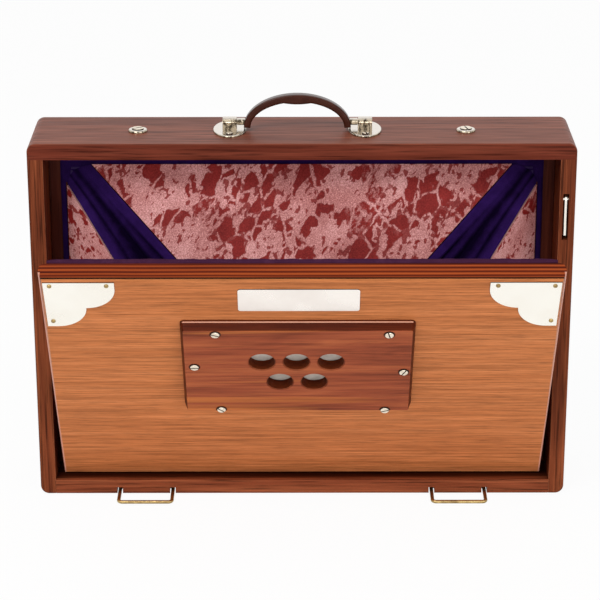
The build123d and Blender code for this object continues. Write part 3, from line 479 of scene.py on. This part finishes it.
def valve_wood(name, tones):
    """Rosewood valve plate: long streaks, dark planed edges, a pale line on top above a darker foot,
    and painted shade as a dark ring round each screw."""
    t = Finish(name)
    colour, fibre = wood_colour(t, tones, "X", 6.6, 1.1, 0.5, 0.35)
    bands = t.noise(t.place((2.2, 48, 48), (0.3, 2.0, 1.1)), 1.0, 3, 0.6, 0.4)
    glow = t.ramp(bands, [(0.56, 0.0), (0.68, 0.75)])
    colour = t.mix(glow, colour, (0.60, 0.19, 0.05))
    edge = t.step(t.facing(BOARD_OUT), 0.85, 0.55)
    colour = t.tinted(edge, colour, (0.30, 0.20, 0.12))
    place = t.place(shift=tuple(-PIVOT))
    high = t.step(t.along(place, BOARD_UP), PLATE_TOP - 0.25 * MM, PLATE_TOP)
    proud = t.along(place, BOARD_OUT)
    near = t.step(proud, BOARD_T + 1.4 * MM, BOARD_T + 1.5 * MM)
    near = t.math("MULTIPLY", near, t.step(proud, BOARD_T + 2.5 * MM, BOARD_T + 2.3 * MM))
    foot = t.step(proud, BOARD_T + 1.2 * MM, BOARD_T + 0.9 * MM)
    colour = t.mix(t.math("MULTIPLY", high, foot), colour, (0.10, 0.02, 0.007))
    colour = t.mix(t.math("MULTIPLY", high, near), colour, (0.62, 0.32, 0.22))
    # Painted shade: a dark ring on the plate round each screw head.
    rings = 0.0
    for x, up in SCREW_PLACES:
        foot_of_screw = Vector((x * MM, 0, 0)) + BOARD_UP * up * MM
        gap = t.node("ShaderNodeVectorMath", operation="DISTANCE")
        t.feed(gap.inputs[0], place)
        gap.inputs[1].default_value = foot_of_screw + BOARD_OUT * (BOARD_T + SCREW_CROWN)
        ring = t.step(gap.outputs["Value"], 4.5 * MM, 3.7 * MM)
        rings = t.math("MAXIMUM", ring, rings)
    colour = t.mix(rings, colour, (0.035, 0.009, 0.004))
    t.relief(fibre, 0.15)
    t.surface(colour, 0.42, gloss=0.06)
    return t.material


def marbled_paper(name, lean, seed, flat, squeeze=1.0, lift=1.0):
    """Pink paper with torn dark red flecks in clusters. flat is the way that the card faces; lift brightens
    the whole card as painted light.
    """
    t = Finish(name)
    place = t.place((1.0, 1.0, 0.55 * squeeze), (seed, seed * 0.6, seed * 0.3), (0, lean, 0))
    torn = t.pushed(place, 0.007, 150, 3)
    blots = t.noise(torn, 66, 1.6, 0.6, 0.3)
    cluster = t.noise(place, 17, 2)
    level = t.math("MULTIPLY_ADD", cluster, 0.42, t.math("MULTIPLY", blots, 0.78))
    patch = t.ramp(level, [(0.612, 0.0), (0.622, 1.0)])
    veins = t.cells(t.pushed(place, 0.005, 170), 74, "DISTANCE_TO_EDGE")
    patch = t.math("MULTIPLY", patch, t.ramp(veins, [(0.03, 0.0), (0.07, 1.0)]))
    crumbs = t.noise(t.pushed(place, 0.003, 300), 230, 1.5, 0.6)
    crumb_level = t.math("MULTIPLY_ADD", cluster, 0.34, t.math("MULTIPLY", crumbs, 0.86))
    crumb = t.ramp(crumb_level, [(0.675, 0.0), (0.69, 0.9)])
    red = t.math("MAXIMUM", patch, crumb)
    rub = t.ramp(t.noise(place, 330, 3, 0.7), [(0.42, 0.30), (0.54, 1.0)])
    thin = t.ramp(t.noise(place, 30, 2), [(0.56, 0.0), (0.64, 1.0)])
    red = t.math("MULTIPLY", red, t.mix(thin, (1.0, 1.0, 1.0), rub))
    speck = t.noise(place, 1400, 2, 0.7)
    cloudy = t.noise(place, 45, 3)
    shade = t.math("MULTIPLY_ADD", cloudy, 0.35, t.math("MULTIPLY", speck, 0.65))
    pinks = [(0.36, (0.32, 0.095, 0.088)), (0.5, (0.57, 0.235, 0.222)), (0.64, (0.86, 0.47, 0.46))]
    pink = t.ramp(shade, [(at, tuple(min(0.9, c * lift) for c in tone)) for at, tone in pinks])
    dark = t.ramp(shade, [(0.36, (0.13 * lift, 0.007, 0.007)), (0.64, (0.33 * lift, 0.028, 0.024))])
    colour = t.mix(red, pink, dark)
    rim = t.step(t.math("ABSOLUTE", t.facing(flat)), 0.75, 0.5)
    colour = t.mix(rim, colour, (0.40, 0.20, 0.19))
    t.relief(speck, 0.10)
    t.surface(colour, 0.6, gloss=0.15)
    return t.material


def cloth(name, deep, lit):
    """Fine plain-woven cotton with painted light and shade: paler where its own fold value is high, as on
    flat borders, darker in its folds.
    """
    t = Finish(name)
    place = t.place()
    threads = t.cells(place, 2600)
    crease = t.noise(place, 90, 4, 0.6, 0.4)
    flat_and_lit = t.node("ShaderNodeAttribute", attribute_name="fold").outputs["Fac"]
    # Painted light and shade: the fold value lightens and darkens the colour, and the crease noise that
    # bumps the cloth also darkens its creases.
    tone = t.math("MULTIPLY_ADD", crease, 0.7, t.math("MULTIPLY_ADD", flat_and_lit, 0.62, -0.30))
    colour = t.ramp(tone, [(0.05, deep), (0.75, lit)])
    shade = t.ramp(threads, [(0.1, 1.2), (0.6, 0.6)])
    t.relief(t.mix(0.4, crease, threads), 0.35, 0.0003)
    t.surface(t.tinted(0.6, colour, shade), 0.9, gloss=0.02)
    t.shader.inputs["Sheen Weight"].default_value = 0.05
    t.shader.inputs["Sheen Roughness"].default_value = 0.4
    t.shader.inputs["Sheen Tint"].default_value = (0.30, 0.16, 0.9, 1)
    return t.material


def plated(name, bright, dull, rough, scale=60):
    """Metal plating with a faint cloud and fine scratches."""
    t = Finish(name)
    cloud = t.noise(t.place(), scale, 4)
    scratch = t.noise(t.place((40, 900, 900), turn=(0.3, 0.2, 0.5)), 1.0, 3)
    t.relief(scratch, 0.03)
    dulled = t.ramp(cloud, [(0.3, rough + 0.1), (0.65, rough)])
    t.surface(t.ramp(cloud, [(0.35, dull), (0.6, bright)]), dulled, 1.0)
    return t


def polished(name, up, side, dark):
    """Polished nickel on top of the case: painted light, bright on top, and painted brown reflections on
    its sides.
    """
    t = Finish(name)
    cloud = t.noise(t.place(), 260, 3)
    tall = t.facing((0, 0, 1))
    streak = t.noise(t.place((500, 500, 160)), 1.0, 2)
    flank = t.ramp(streak, [(0.38, dark), (0.58, side)])
    # Painted light and reflections: up-facing faces take the bright colour, the rest streaky brown.
    colour = t.mix(t.step(tall, 0.55, 0.97), flank, up)
    t.relief(cloud, 0.04)
    t.surface(colour, t.ramp(cloud, [(0.3, 0.26), (0.65, 0.14)]), 1.0)
    return t.material


def screw_metal(name, out, slot_floor, bright, dark):
    """Screw heads: bright crown, with painted shade on their sides and in the slot. out is where they face.
    """
    t = Finish(name)
    cloud = t.noise(t.place(), 500, 3)
    colour = t.ramp(cloud, [(0.3, bright[0]), (0.7, bright[1])])
    # Painted shade: sides turned away from out, and the slot below its floor, take the dark colour.
    side = t.step(t.facing(out), 0.75, 0.35)
    deep = t.step(t.along(t.place(), out), slot_floor + 0.0001, slot_floor)
    colour = t.mix(t.math("MAXIMUM", side, deep), colour, dark)
    t.relief(cloud, 0.1)
    t.surface(colour, t.ramp(cloud, [(0.3, 0.36), (0.7, 0.22)]), 1.0)
    return t.material


def dark_edged(name, bright, dull, rough):
    """Thin plate on the pump board: bright face, and a dark edge, partly painted shade of the gap round the
    plate and partly its solder.
    """
    t = plated(name, bright, dull, rough, 30)
    face = t.shader.inputs["Base Color"].links[0].from_socket
    # Painted shade and solder: faces turned away from the board's front are darkened.
    edge = t.step(t.facing(BOARD_OUT), 0.8, 0.5)
    t.feed(t.shader.inputs["Base Color"], t.mix(edge, face, (0.10, 0.07, 0.05)))
    return t.material


def leather(name, pale, shade):
    t = Finish(name)
    pebble = t.cells(t.place(), 1300, "SMOOTH_F1")
    cloud = t.noise(t.place(), 120, 3)
    t.relief(pebble, 0.3, 0.0001)
    t.surface(t.ramp(cloud, [(0.35, shade), (0.65, pale)]), 0.7, gloss=0.3)
    return t.material


def polished_dark(name, base, light, rough, gloss=0.5):
    """Dark, smooth and nearly plain, as on the levers and the handle's grip."""
    t = Finish(name)
    cloud = t.noise(t.place(), 140, 4)
    t.relief(t.noise(t.place(), 1500, 2), 0.05, 0.0001)
    t.surface(t.ramp(cloud, [(0.35, base), (0.7, light)]), rough, gloss=gloss)
    return t


def grip_finish(name, base, light):
    """Dark moulded grip with a painted highlight along its top: gloss is raised only where it faces up."""
    t = polished_dark(name, base, light, 0.24)
    # Painted highlight: up-facing faces get far more gloss than the rest.
    top = t.step(t.facing((0, 0, 1)), 0.55, 0.85)
    t.feed(t.shader.inputs["Specular IOR Level"], t.ramp(top, [(0.0, 0.07), (1.0, 0.9)]))
    return t.material


# Cloth and leather


def finished(piece):
    """Applies the piece's modifiers and smooths it, but for its sharp edges."""
    bpy.ops.object.select_all(action="DESELECT")
    bpy.context.view_layer.objects.active = piece
    piece.select_set(True)
    for modifier in list(piece.modifiers):
        bpy.ops.object.modifier_apply(modifier=modifier.name)
    bpy.ops.object.shade_smooth_by_angle(angle=math.radians(50))
    return piece


def flat_all_over(u, v):
    """The fold value, painted light and shade, of cloth that lies flat."""
    return 0.55


def sheet_piece(name, spot, rows, columns, thickness, material, flat_and_lit=flat_all_over):
    """A sheet whose points are given by spot(u, v), both from 0 to 1, with its own thickness."""
    bpy.ops.object.select_all(action="DESELECT")
    bpy.ops.mesh.primitive_grid_add(x_subdivisions=columns, y_subdivisions=rows, size=2, location=(0, 0, 0))
    piece = bpy.context.object
    piece.name = name
    # The fold attribute holds painted light and shade for the cloth.
    fold = piece.data.attributes.new("fold", "FLOAT", "POINT")
    for point in piece.data.vertices:
        u, v = (point.co.x + 1) / 2, (point.co.y + 1) / 2
        point.co = spot(u, v)
        fold.data[point.index].value = flat_and_lit(u, v)
    piece.data.materials.append(material)
    smooth = piece.modifiers.new("smooth", "SUBSURF")
    smooth.levels = smooth.render_levels = 1
    thick = piece.modifiers.new("thickness", "SOLIDIFY")
    thick.thickness = thickness
    thick.offset = 0
    return finished(piece)


def turned(point, angle):
    """A point on the closed pump board, swung forward by an angle."""
    return PIVOT + Matrix.Rotation(angle, 3, "X") @ (point - PIVOT)


def blend(a, b, share):
    return a * (1 - share) + b * share


def top_card_point(depth, inset, front):
    """Point beside the left end of a top card, some way from its fold and off its end."""
    x = -(TOP_HALF - TOP_CUT * depth) - inset
    drop = depth * math.cos(TOP_FOLD)
    lean = depth * math.sin(TOP_FOLD)
    if front:
        z = TOP_FOLD_Z - FRONT_DROP - drop
        return turned(Vector((x, PIVOT.y + FOLD_OFFSET + lean, z)), OPEN)
    return Vector((x, PAN_Y - FOLD_OFFSET - lean, TOP_FOLD_Z - drop))


def side_card_point(width, z, front):
    """Point on a left side card, by its distance from the fold and its height."""
    x = -SIDE_X + width * math.sin(SIDE_FOLD)
    lean = width * math.cos(SIDE_FOLD)
    if front:
        return turned(Vector((x, PIVOT.y + FOLD_OFFSET + lean, z)), OPEN)
    return Vector((x, PAN_Y - FOLD_OFFSET - lean, z))


def band_share(down):
    """Share of the gusset's width that each pressed border takes, some way down from its corner."""
    return 0.22 - 0.09 * down


def slack_share(u, down):
    """0 on the pressed borders, 1 well inside the loose middle."""
    inside = min(u, 1 - u) / band_share(down)
    share = max(0.0, min(1.0, (inside - 1) / 0.4))
    return share * share * (3 - 2 * share)


def fold_wave(u, down):
    """The creases that run down the loose middle, from -1 to 1."""
    band = band_share(down)
    middle = (u - band) / (1 - 2 * band)
    return math.sin(math.pi * (3.9 * middle + 0.7 * down + 0.1))


def gusset_shade(u, v):
    """Painted light and shade for the corner cloth: pale on the borders, darker in the loose middle and
    darkest in its valleys.
    """
    slack = slack_share(u, v)
    rim = 0.12 * (min(u, 1 - u) < 0.05)
    return (0.85 + rim) * (1 - slack) + slack * (0.34 - 0.30 * fold_wave(u, v) - 0.30 * v)


def gusset_spot(front):
    """The bellows' left corner: slack cloth between the end of a top card and a side card."""
    corner = Vector((-SIDE_X + 1 * MM, PAN_Y - 1.7 * MM, TOP_FOLD_Z - 2 * MM))
    inner = Vector((0, 1, 0))
    if front:
        corner = turned(Vector((corner.x, PIVOT.y + 1.7 * MM, TOP_FOLD_Z - 3 * MM)), OPEN)
        inner = BOARD_OUT
    inward = top_card_point(92 * MM, 26 * MM + TOP_CUT * 4 * MM, front)

    def spot(u, v):
        z = SIDE_HIGH + (SIDE_TIP[1] - SIDE_HIGH) * v + 1 * MM
        start = side_card_point(SIDE_TIP[0] * v, z, front)
        end = top_card_point(TOP_DEPTH * v, 1 * MM, front)
        pull = blend(corner, inward, v ** 0.7)
        point = start * (1 - u) ** 2 + pull * (2 * u * (1 - u)) + end * u * u
        depth = slack_share(u, v) * v * (5.5 + 4.2 * fold_wave(u, v)) * MM
        depth += noise.noise(point * 42) * 0.8 * MM * v * slack_share(u, v)
        return point + inner * depth

    return spot


def mirrored_spot(spot, side):
    """The same surface for side -1, and its mirror image on the other side for side 1."""

    def placed(u, v):
        point = spot(u, v)
        return Vector((-side * point.x, point.y, point.z))

    return placed


def strip_between(first, second, width, lift, outward):
    """A flat seam tape from one point to another, lying just above the cloth."""
    along = (second - first).normalized()
    across = along.cross(outward).normalized() * width / 2

    def spot(u, v):
        swell = lift * (1 - (2 * u - 1) ** 4)
        return blend(first, second, v) + across * (2 * u - 1) + outward * swell

    return spot


def corner_tapes(side, material):
    """Pale seam lines of the corner patch on the fixed board."""
    y = PAN_Y - 1.0 * MM
    marks = (
        ("seam_upright", (-173.5, 241), (-173.5, 252.5), 1.6),
        ("seam_level", (-173.9, 254.2), (-158.5, 254.2), 1.5),
        ("seam_top", (-176.5, 261.2), (-159.5, 261.2), 2.2),
    )
    word = "right" if side > 0 else "left"
    for name, a, b, width in marks:
        first = Vector((side * -a[0] * MM, y, a[1] * MM))
        second = Vector((side * -b[0] * MM, y, b[1] * MM))
        spot = strip_between(first, second, width * MM, 0.5 * MM, Vector((0, -1, 0)))
        piece = sheet_piece(f"{name}_{word}", spot, 6, 4, 0.3 * MM, material)
        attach(piece, "case")


def corner_valley_spot():
    """Cloth that joins the rear and front halves of a corner along its inner fold."""
    rear, front = gusset_spot(False), gusset_spot(True)

    def spot(u, v):
        sag = math.sin(math.pi * v) * (1.8 + 0.5 * math.sin(19 * u)) * MM
        return blend(rear(u, 1), front(u, 1), v) - Vector((0, 0, sag))

    return spot


def make_gussets(material, tape):
    """Both corners of the bellows: a rear and a front half, and the strip between them."""
    for side, word in ((-1, "left"), (1, "right")):
        for front, body in ((False, "case"), (True, "pump_board")):
            part = "front" if front else "rear"
            spot = mirrored_spot(gusset_spot(front), side)
            name = f"corner_cloth_{part}_{word}"
            piece = sheet_piece(name, spot, 30, 30, CLOTH_THICK, material, gusset_shade)
            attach(piece, body)
            if front:
                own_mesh(piece)
            else:
                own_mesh(piece)
        spot = mirrored_spot(corner_valley_spot(), side)
        valley = sheet_piece(f"corner_valley_{word}", spot, 8, 30, CLOTH_THICK, material)
        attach(valley, "case")
        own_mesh(valley)
        corner_tapes(side, tape)
        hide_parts(f"gusset_{word}")


def make_valleys(material):
    """Strips of cloth between the rear and front cards, along the bellows' inner folds."""
    half = TOP_HALF - TOP_CUT * TOP_DEPTH - 1 * MM
    depth = TOP_DEPTH - 0.5 * MM

    def top(u, v):
        x = half * (2 * u - 1)
        rear = top_card_point(depth, 0, False)
        front = top_card_point(depth, 0, True)
        sag = math.sin(math.pi * v) * (2.2 + 0.6 * math.sin(31 * u)) * MM
        point = blend(rear, front, v) - Vector((0, 0, sag))
        return Vector((x, point.y, point.z))

    piece = sheet_piece("valley_cloth_top", top, 8, 40, CLOTH_THICK, material)
    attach(piece, "top_rear_card")
    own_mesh(piece)
    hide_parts("valley_cloth")

    def side_strip(u, v):
        z = SIDE_LOW + (SIDE_TIP[1] - SIDE_LOW) * u
        width = SIDE_FOOT + SIDE_SPREAD * (z - PIVOT.z) - 0.4 * MM
        rear = side_card_point(width, z, False)
        front = side_card_point(width, z, True)
        sag = math.sin(math.pi * v) * (1.2 + 2.0 * u + 0.4 * math.sin(23 * u)) * MM
        return blend(rear, front, v) + Vector((sag, 0, 0))

    for side, word in ((-1, "left"), (1, "right")):
        spot = mirrored_spot(side_strip, side)
        piece = sheet_piece(f"valley_cloth_{word}", spot, 8, 24, CLOTH_THICK, material)
        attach(piece, f"side_rear_{word}_card")
        anchor = side_card_point(0, 100 * MM, False)
        anchor.x *= -side
        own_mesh(piece)


def make_pan_hem(material):
    """Cloth binding glued round the bellows on the fixed board, with a patch in each corner."""

    def upright(side):
        def spot(u, v):
            z = BINDING_LOW + (BINDING_HIGH - BINDING_LOW) * v
            x = side * (BINDING_IN + (BINDING_OUT - BINDING_IN) * u)
            x += noise.noise(Vector((0, 0, z * 60))) * 0.18 * MM
            crown = 1 - (2 * u - 1) ** 2
            return Vector((x, PAN_Y - (0.45 + 0.75 * crown) * MM, z))

        return spot

    def along_top(u, v):
        z = TOP_BINDING_LOW + (BINDING_HIGH - TOP_BINDING_LOW) * v
        x = BINDING_OUT * (2 * u - 1)
        z += noise.noise(Vector((x * 50, 3, 0))) * 0.15 * MM
        crown = max(0.0, 1 - abs(z - BINDING_HIGH + 1.3 * MM) / (2 * MM))
        return Vector((x, PAN_Y - (0.3 + 0.9 * crown) * MM, z))

    def patch(side):
        def spot(u, v):
            x = side * (PATCH_CORNER[0] + PATCH_CUT[0] * u)
            z = PATCH_CORNER[1] + PATCH_CUT[1] * v
            ripple = noise.noise(Vector((x * 90, 0, z * 90))) * 0.35
            return Vector((x, PAN_Y - (0.55 + ripple) * MM, z))

        return spot

    pieces = [sheet_piece("pan_binding_top", along_top, 12, 90, 0.5 * MM, material)]
    for side, word in ((-1, "left"), (1, "right")):
        pieces.append(sheet_piece(f"pan_binding_{word}", upright(side), 60, 6, CLOTH_THICK, material))
        pieces.append(sheet_piece(f"pan_patch_{word}", patch(side), 10, 10, 0.6 * MM, material))
    for piece in pieces:
        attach(piece, "case")
        "patch" in piece.name
    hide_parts("pan_hem")


def make_pump_hem(material):
    """Rolled hem, folded over and stitched down along the board's top rear edge."""
    reach_out, reach_up = 2.4 * MM, 2.15 * MM
    middle_out, middle_up = -reach_out, BOARD_H - 1.6 * MM

    def spot(u, v):
        turn = 2 * math.pi * v
        lean = 2 * u - 1
        pinch = 1 - 0.45 * abs(lean) ** 40
        ripple = 0.16 * noise.noise(Vector((lean * 26, math.cos(turn), math.sin(turn))))
        radius = (1 + ripple) * pinch
        out = middle_out + math.cos(turn) * reach_out * radius
        up = middle_up + math.sin(turn) * reach_up * radius
        up += 0.25 * MM * noise.noise(Vector((lean * 9, 5, 0)))
        base = PIVOT + BOARD_OUT * out + BOARD_UP * up
        return Vector((lean * HEM_HALF, base.y, base.z))

    bpy.ops.object.select_all(action="DESELECT")
    bpy.ops.mesh.primitive_cylinder_add(vertices=20, radius=1, depth=2, end_fill_type="NGON")
    piece = bpy.context.object
    piece.name = "rolled_hem"
    bpy.ops.object.mode_set(mode="EDIT")
    lengths = 120
    for cut in range(1, lengths):
        height = -1 + 2 * cut / lengths
        bpy.ops.mesh.select_all(action="SELECT")
        bpy.ops.mesh.bisect(plane_co=(0, 0, height), plane_no=(0, 0, 1))
    bpy.ops.object.mode_set(mode="OBJECT")
    for point in piece.data.vertices:
        turn = math.atan2(point.co.y, point.co.x) / (2 * math.pi)
        point.co = spot((point.co.z + 1) / 2, turn)
    bpy.ops.object.mode_set(mode="EDIT")
    bpy.ops.mesh.select_all(action="SELECT")
    bpy.ops.mesh.normals_make_consistent(inside=False)
    bpy.ops.object.mode_set(mode="OBJECT")
    piece.data.materials.append(material)
    finished(piece)
    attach(piece, "pump_board")
    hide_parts("pump_hem")


def make_flaps(material):
    """Leather valve flaps, a little cupped where they hang free."""
    foot = PLATE_MIDDLE - FLAP_HIGH / 2 - 1 * MM

    def intake(u, v):
        lean = 2 * u - 1
        x = -4.2 * MM + FLAP_HALF * lean
        lift = (0.25 + 0.35 * (1 - v) ** 2 + 0.15 * noise.noise(Vector((u * 6, v * 4, 1)))) * MM
        height = foot + FLAP_HIGH * v
        point = PIVOT + BOARD_OUT * (BOARD_T - 0.9 * MM - 0.3 * lift) + BOARD_UP * height
        return Vector((x, point.y, point.z))

    piece = sheet_piece("intake_leather", intake, 16, 24, 1.1 * MM, material)
    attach(piece, "intake_flap")
    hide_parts("intake_flap")
    start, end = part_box("nonreturn_flap")
    y = (start[1] + end[1]) / 2

    def rear(u, v):
        lift = (0.3 * (1 - v) ** 2 + 0.12 * noise.noise(Vector((u * 9, v * 3, 2)))) * MM
        x = start[0] + (end[0] - start[0]) * u
        return Vector((x, y + lift * 0.5, start[2] + (end[2] - start[2]) * v))

    piece = sheet_piece("nonreturn_leather", rear, 12, 40, (end[1] - start[1]) * 0.9, material)
    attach(piece, "nonreturn_flap")
    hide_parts("nonreturn_flap")


set_camera()
set_light()
set_floor()

# Wood tones, each dark, middle and light

TOP_TONES = ((0.110, 0.023, 0.010), (0.200, 0.050, 0.024), (0.280, 0.082, 0.041))
BOTTOM_TONES = ((0.115, 0.024, 0.009), (0.205, 0.050, 0.020), (0.290, 0.082, 0.033))
SIDE_TONES = ((0.088, 0.018, 0.007), (0.182, 0.044, 0.016), (0.275, 0.078, 0.029))
PUMP_TONES = ((0.10, 0.016, 0.006), (0.18, 0.036, 0.014), (0.27, 0.064, 0.028))
PAN_TONES = ((0.03, 0.005, 0.003), (0.06, 0.011, 0.006), (0.10, 0.022, 0.010))
TONE_TONES = ((0.10, 0.03, 0.012), (0.20, 0.065, 0.028), (0.30, 0.11, 0.045))
VALVE_TONES = ((0.105, 0.022, 0.011), (0.275, 0.063, 0.027), (0.44, 0.125, 0.046))
VENEER_TONES = ((0.41, 0.132, 0.043), (0.51, 0.172, 0.058), (0.59, 0.212, 0.078))

# Woods and cloths that several pieces share

SIDE_WOOD = case_side_wood("case wood upright", SIDE_TONES, 3.1)
PAN_WOOD = wood("pan wood", PAN_TONES, "Z", 5.2)
TONE_WOOD = wood("tone board wood", TONE_TONES, "X", 8.4)
CLOTH = cloth("bellows cloth", (0.0040, 0.0008, 0.0130), (0.0320, 0.0095, 0.1000))
TAPE = cloth("seam tape", (0.020, 0.009, 0.050), (0.060, 0.034, 0.120))
HEM = cloth("hem cloth", (0.055, 0.015, 0.040), (0.140, 0.045, 0.098))

# The way that each marbled card faces, which tells its flat sides from its rim

TOP_FLAT = (0, -math.cos(TOP_FOLD), math.sin(TOP_FOLD))
FRONT_FLAT = (0, math.cos(OPEN + TOP_FOLD), math.sin(OPEN + TOP_FOLD))
SIDE_ACROSS, SIDE_ALONG = math.cos(SIDE_FOLD), math.sin(SIDE_FOLD)
SIDE_OPENED = (-SIDE_ALONG * math.cos(OPEN), -SIDE_ALONG * math.sin(OPEN))
TOP_LEAN = math.radians(-24)
SIDE_LEAN = math.radians(58)
REAR_PAPER = marbled_paper("marbled paper top", TOP_LEAN, 0.0, TOP_FLAT)
FRONT_PAPER = marbled_paper("marbled paper front", TOP_LEAN, 2.6, FRONT_FLAT)
SIDE_PAPERS = {
    "rear_left": (SIDE_LEAN, 1.7, (SIDE_ACROSS, SIDE_ALONG, 0)),
    "rear_right": (-SIDE_LEAN, 4.3, (-SIDE_ACROSS, SIDE_ALONG, 0)),
    "front_left": (SIDE_LEAN, 6.1, (SIDE_ACROSS, *SIDE_OPENED)),
    "front_right": (-SIDE_LEAN, 7.9, (-SIDE_ACROSS, *SIDE_OPENED)),
}

# Metals, leather and dark smooth pieces

NICKEL = plated("nickel plate", (0.93, 0.88, 0.80), (0.82, 0.76, 0.68), 0.15).material
TOP_NICKEL = polished("top nickel", (0.80, 0.74, 0.67), (0.50, 0.42, 0.31), (0.05, 0.035, 0.02))
CORNER_NICKEL = dark_edged("corner plate nickel", (1.0, 0.97, 0.89), (0.98, 0.94, 0.85), 0.2)
BRASS = plated("antique brass", (0.50, 0.36, 0.15), (0.26, 0.17, 0.07), 0.30, 200).material
NAMEPLATE = dark_edged("nameplate", (1.0, 0.94, 0.88), (0.95, 0.88, 0.82), 0.24)
CROWN = ((0.70, 0.60, 0.47), (0.98, 0.88, 0.74))
# Painted shade for the screw heads' sides and slots.
SCREW_SHADE = (0.06, 0.04, 0.03)
STEEL = screw_metal("screw steel", (0, 0, 1), TOP_SLOT_FLOOR, CROWN, SCREW_SHADE)
BOARD_FACE = BOARD_OUT.dot(PIVOT) + BOARD_T
FRONT_STEEL = screw_metal("front screw steel", tuple(BOARD_OUT), BOARD_FACE + FRONT_SLOT_FLOOR, CROWN, SCREW_SHADE)
REAR_STEEL = plated("rear steel", (0.86, 0.80, 0.70), (0.55, 0.49, 0.41), 0.28, 300).material
LEATHER = leather("white leather", (0.62, 0.56, 0.50), (0.46, 0.41, 0.36))
GRIP = grip_finish("handle plastic", (0.042, 0.011, 0.006), (0.060, 0.017, 0.010))
LEVER = polished_dark("lever wood", (0.030, 0.010, 0.007), (0.06, 0.02, 0.012), 0.28, 0.4).material

LOOKS = {
    "case_top": case_top_wood("case top wood", TOP_TONES, 0.0),
    "case_bottom": case_bottom_wood("case bottom wood", BOTTOM_TONES, 4.0),
    "case_side_left": SIDE_WOOD,
    "case_side_right": SIDE_WOOD,
    "pan_board": PAN_WOOD,
    "chest_frame": PAN_WOOD,
    "hinge_batten": PAN_WOOD,
    "tone_board": TONE_WOOD,
    "pump_rail_top": layered_rail("layered rail"),
    "pump_rail_bottom": wood("bottom rail wood", PUMP_TONES, "X", 1.7),
    "pump_stile_left": stile_wood("left stile wood", PUMP_TONES, 1.1),
    "pump_stile_right": stile_wood("right stile wood", PUMP_TONES, 1.9),
    "pump_skin": veneer("teak veneer", VENEER_TONES),
    "valve_plate": valve_wood("valve plate wood", VALVE_TONES),
    "valve_plate_screws": FRONT_STEEL,
    "cup_screws": STEEL,
    "handle_plate_screws": STEEL,
    "lever_screws": REAR_STEEL,
    "hook_pin": REAR_STEEL,
    "nameplate": NAMEPLATE,
    "corner_plates": CORNER_NICKEL,
    "handle_plates": TOP_NICKEL,
    "handle_ferrules": TOP_NICKEL,
    "cup_washers": TOP_NICKEL,
    "swing_hook": NICKEL,
    "handle_grip": GRIP,
    "bellows_top_rear": REAR_PAPER,
    "bellows_top_front": FRONT_PAPER,
}
# The side cards take the same paper with lift 1.16: a brighter copy, painted light.
for word, (lean, seed, flat) in SIDE_PAPERS.items():
    LOOKS[f"bellows_side_{word}"] = marbled_paper(f"marbled paper {word}", lean, seed, flat, 1.2, 1.16)
for look, names in (
    (BRASS, ("corner_pins", "foot_left", "foot_right", "foot_straps", "reeds")),
    (BRASS, ("hinge_leaves_case", "hinge_leaves_board")),
    (CLOTH, ("gusset_left", "gusset_right", "valley_cloth", "pan_hem", "pump_hem")),
    (LEATHER, ("intake_flap", "nonreturn_flap")),
):
    for name in names:
        LOOKS[name] = look
for name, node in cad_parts.items():
    node.data.materials.clear()
    node.data.materials.append(LOOKS.get(name, LEVER))

make_gussets(CLOTH, TAPE)
make_valleys(CLOTH)
make_pan_hem(CLOTH)
make_pump_hem(HEM)
make_flaps(LEATHER)
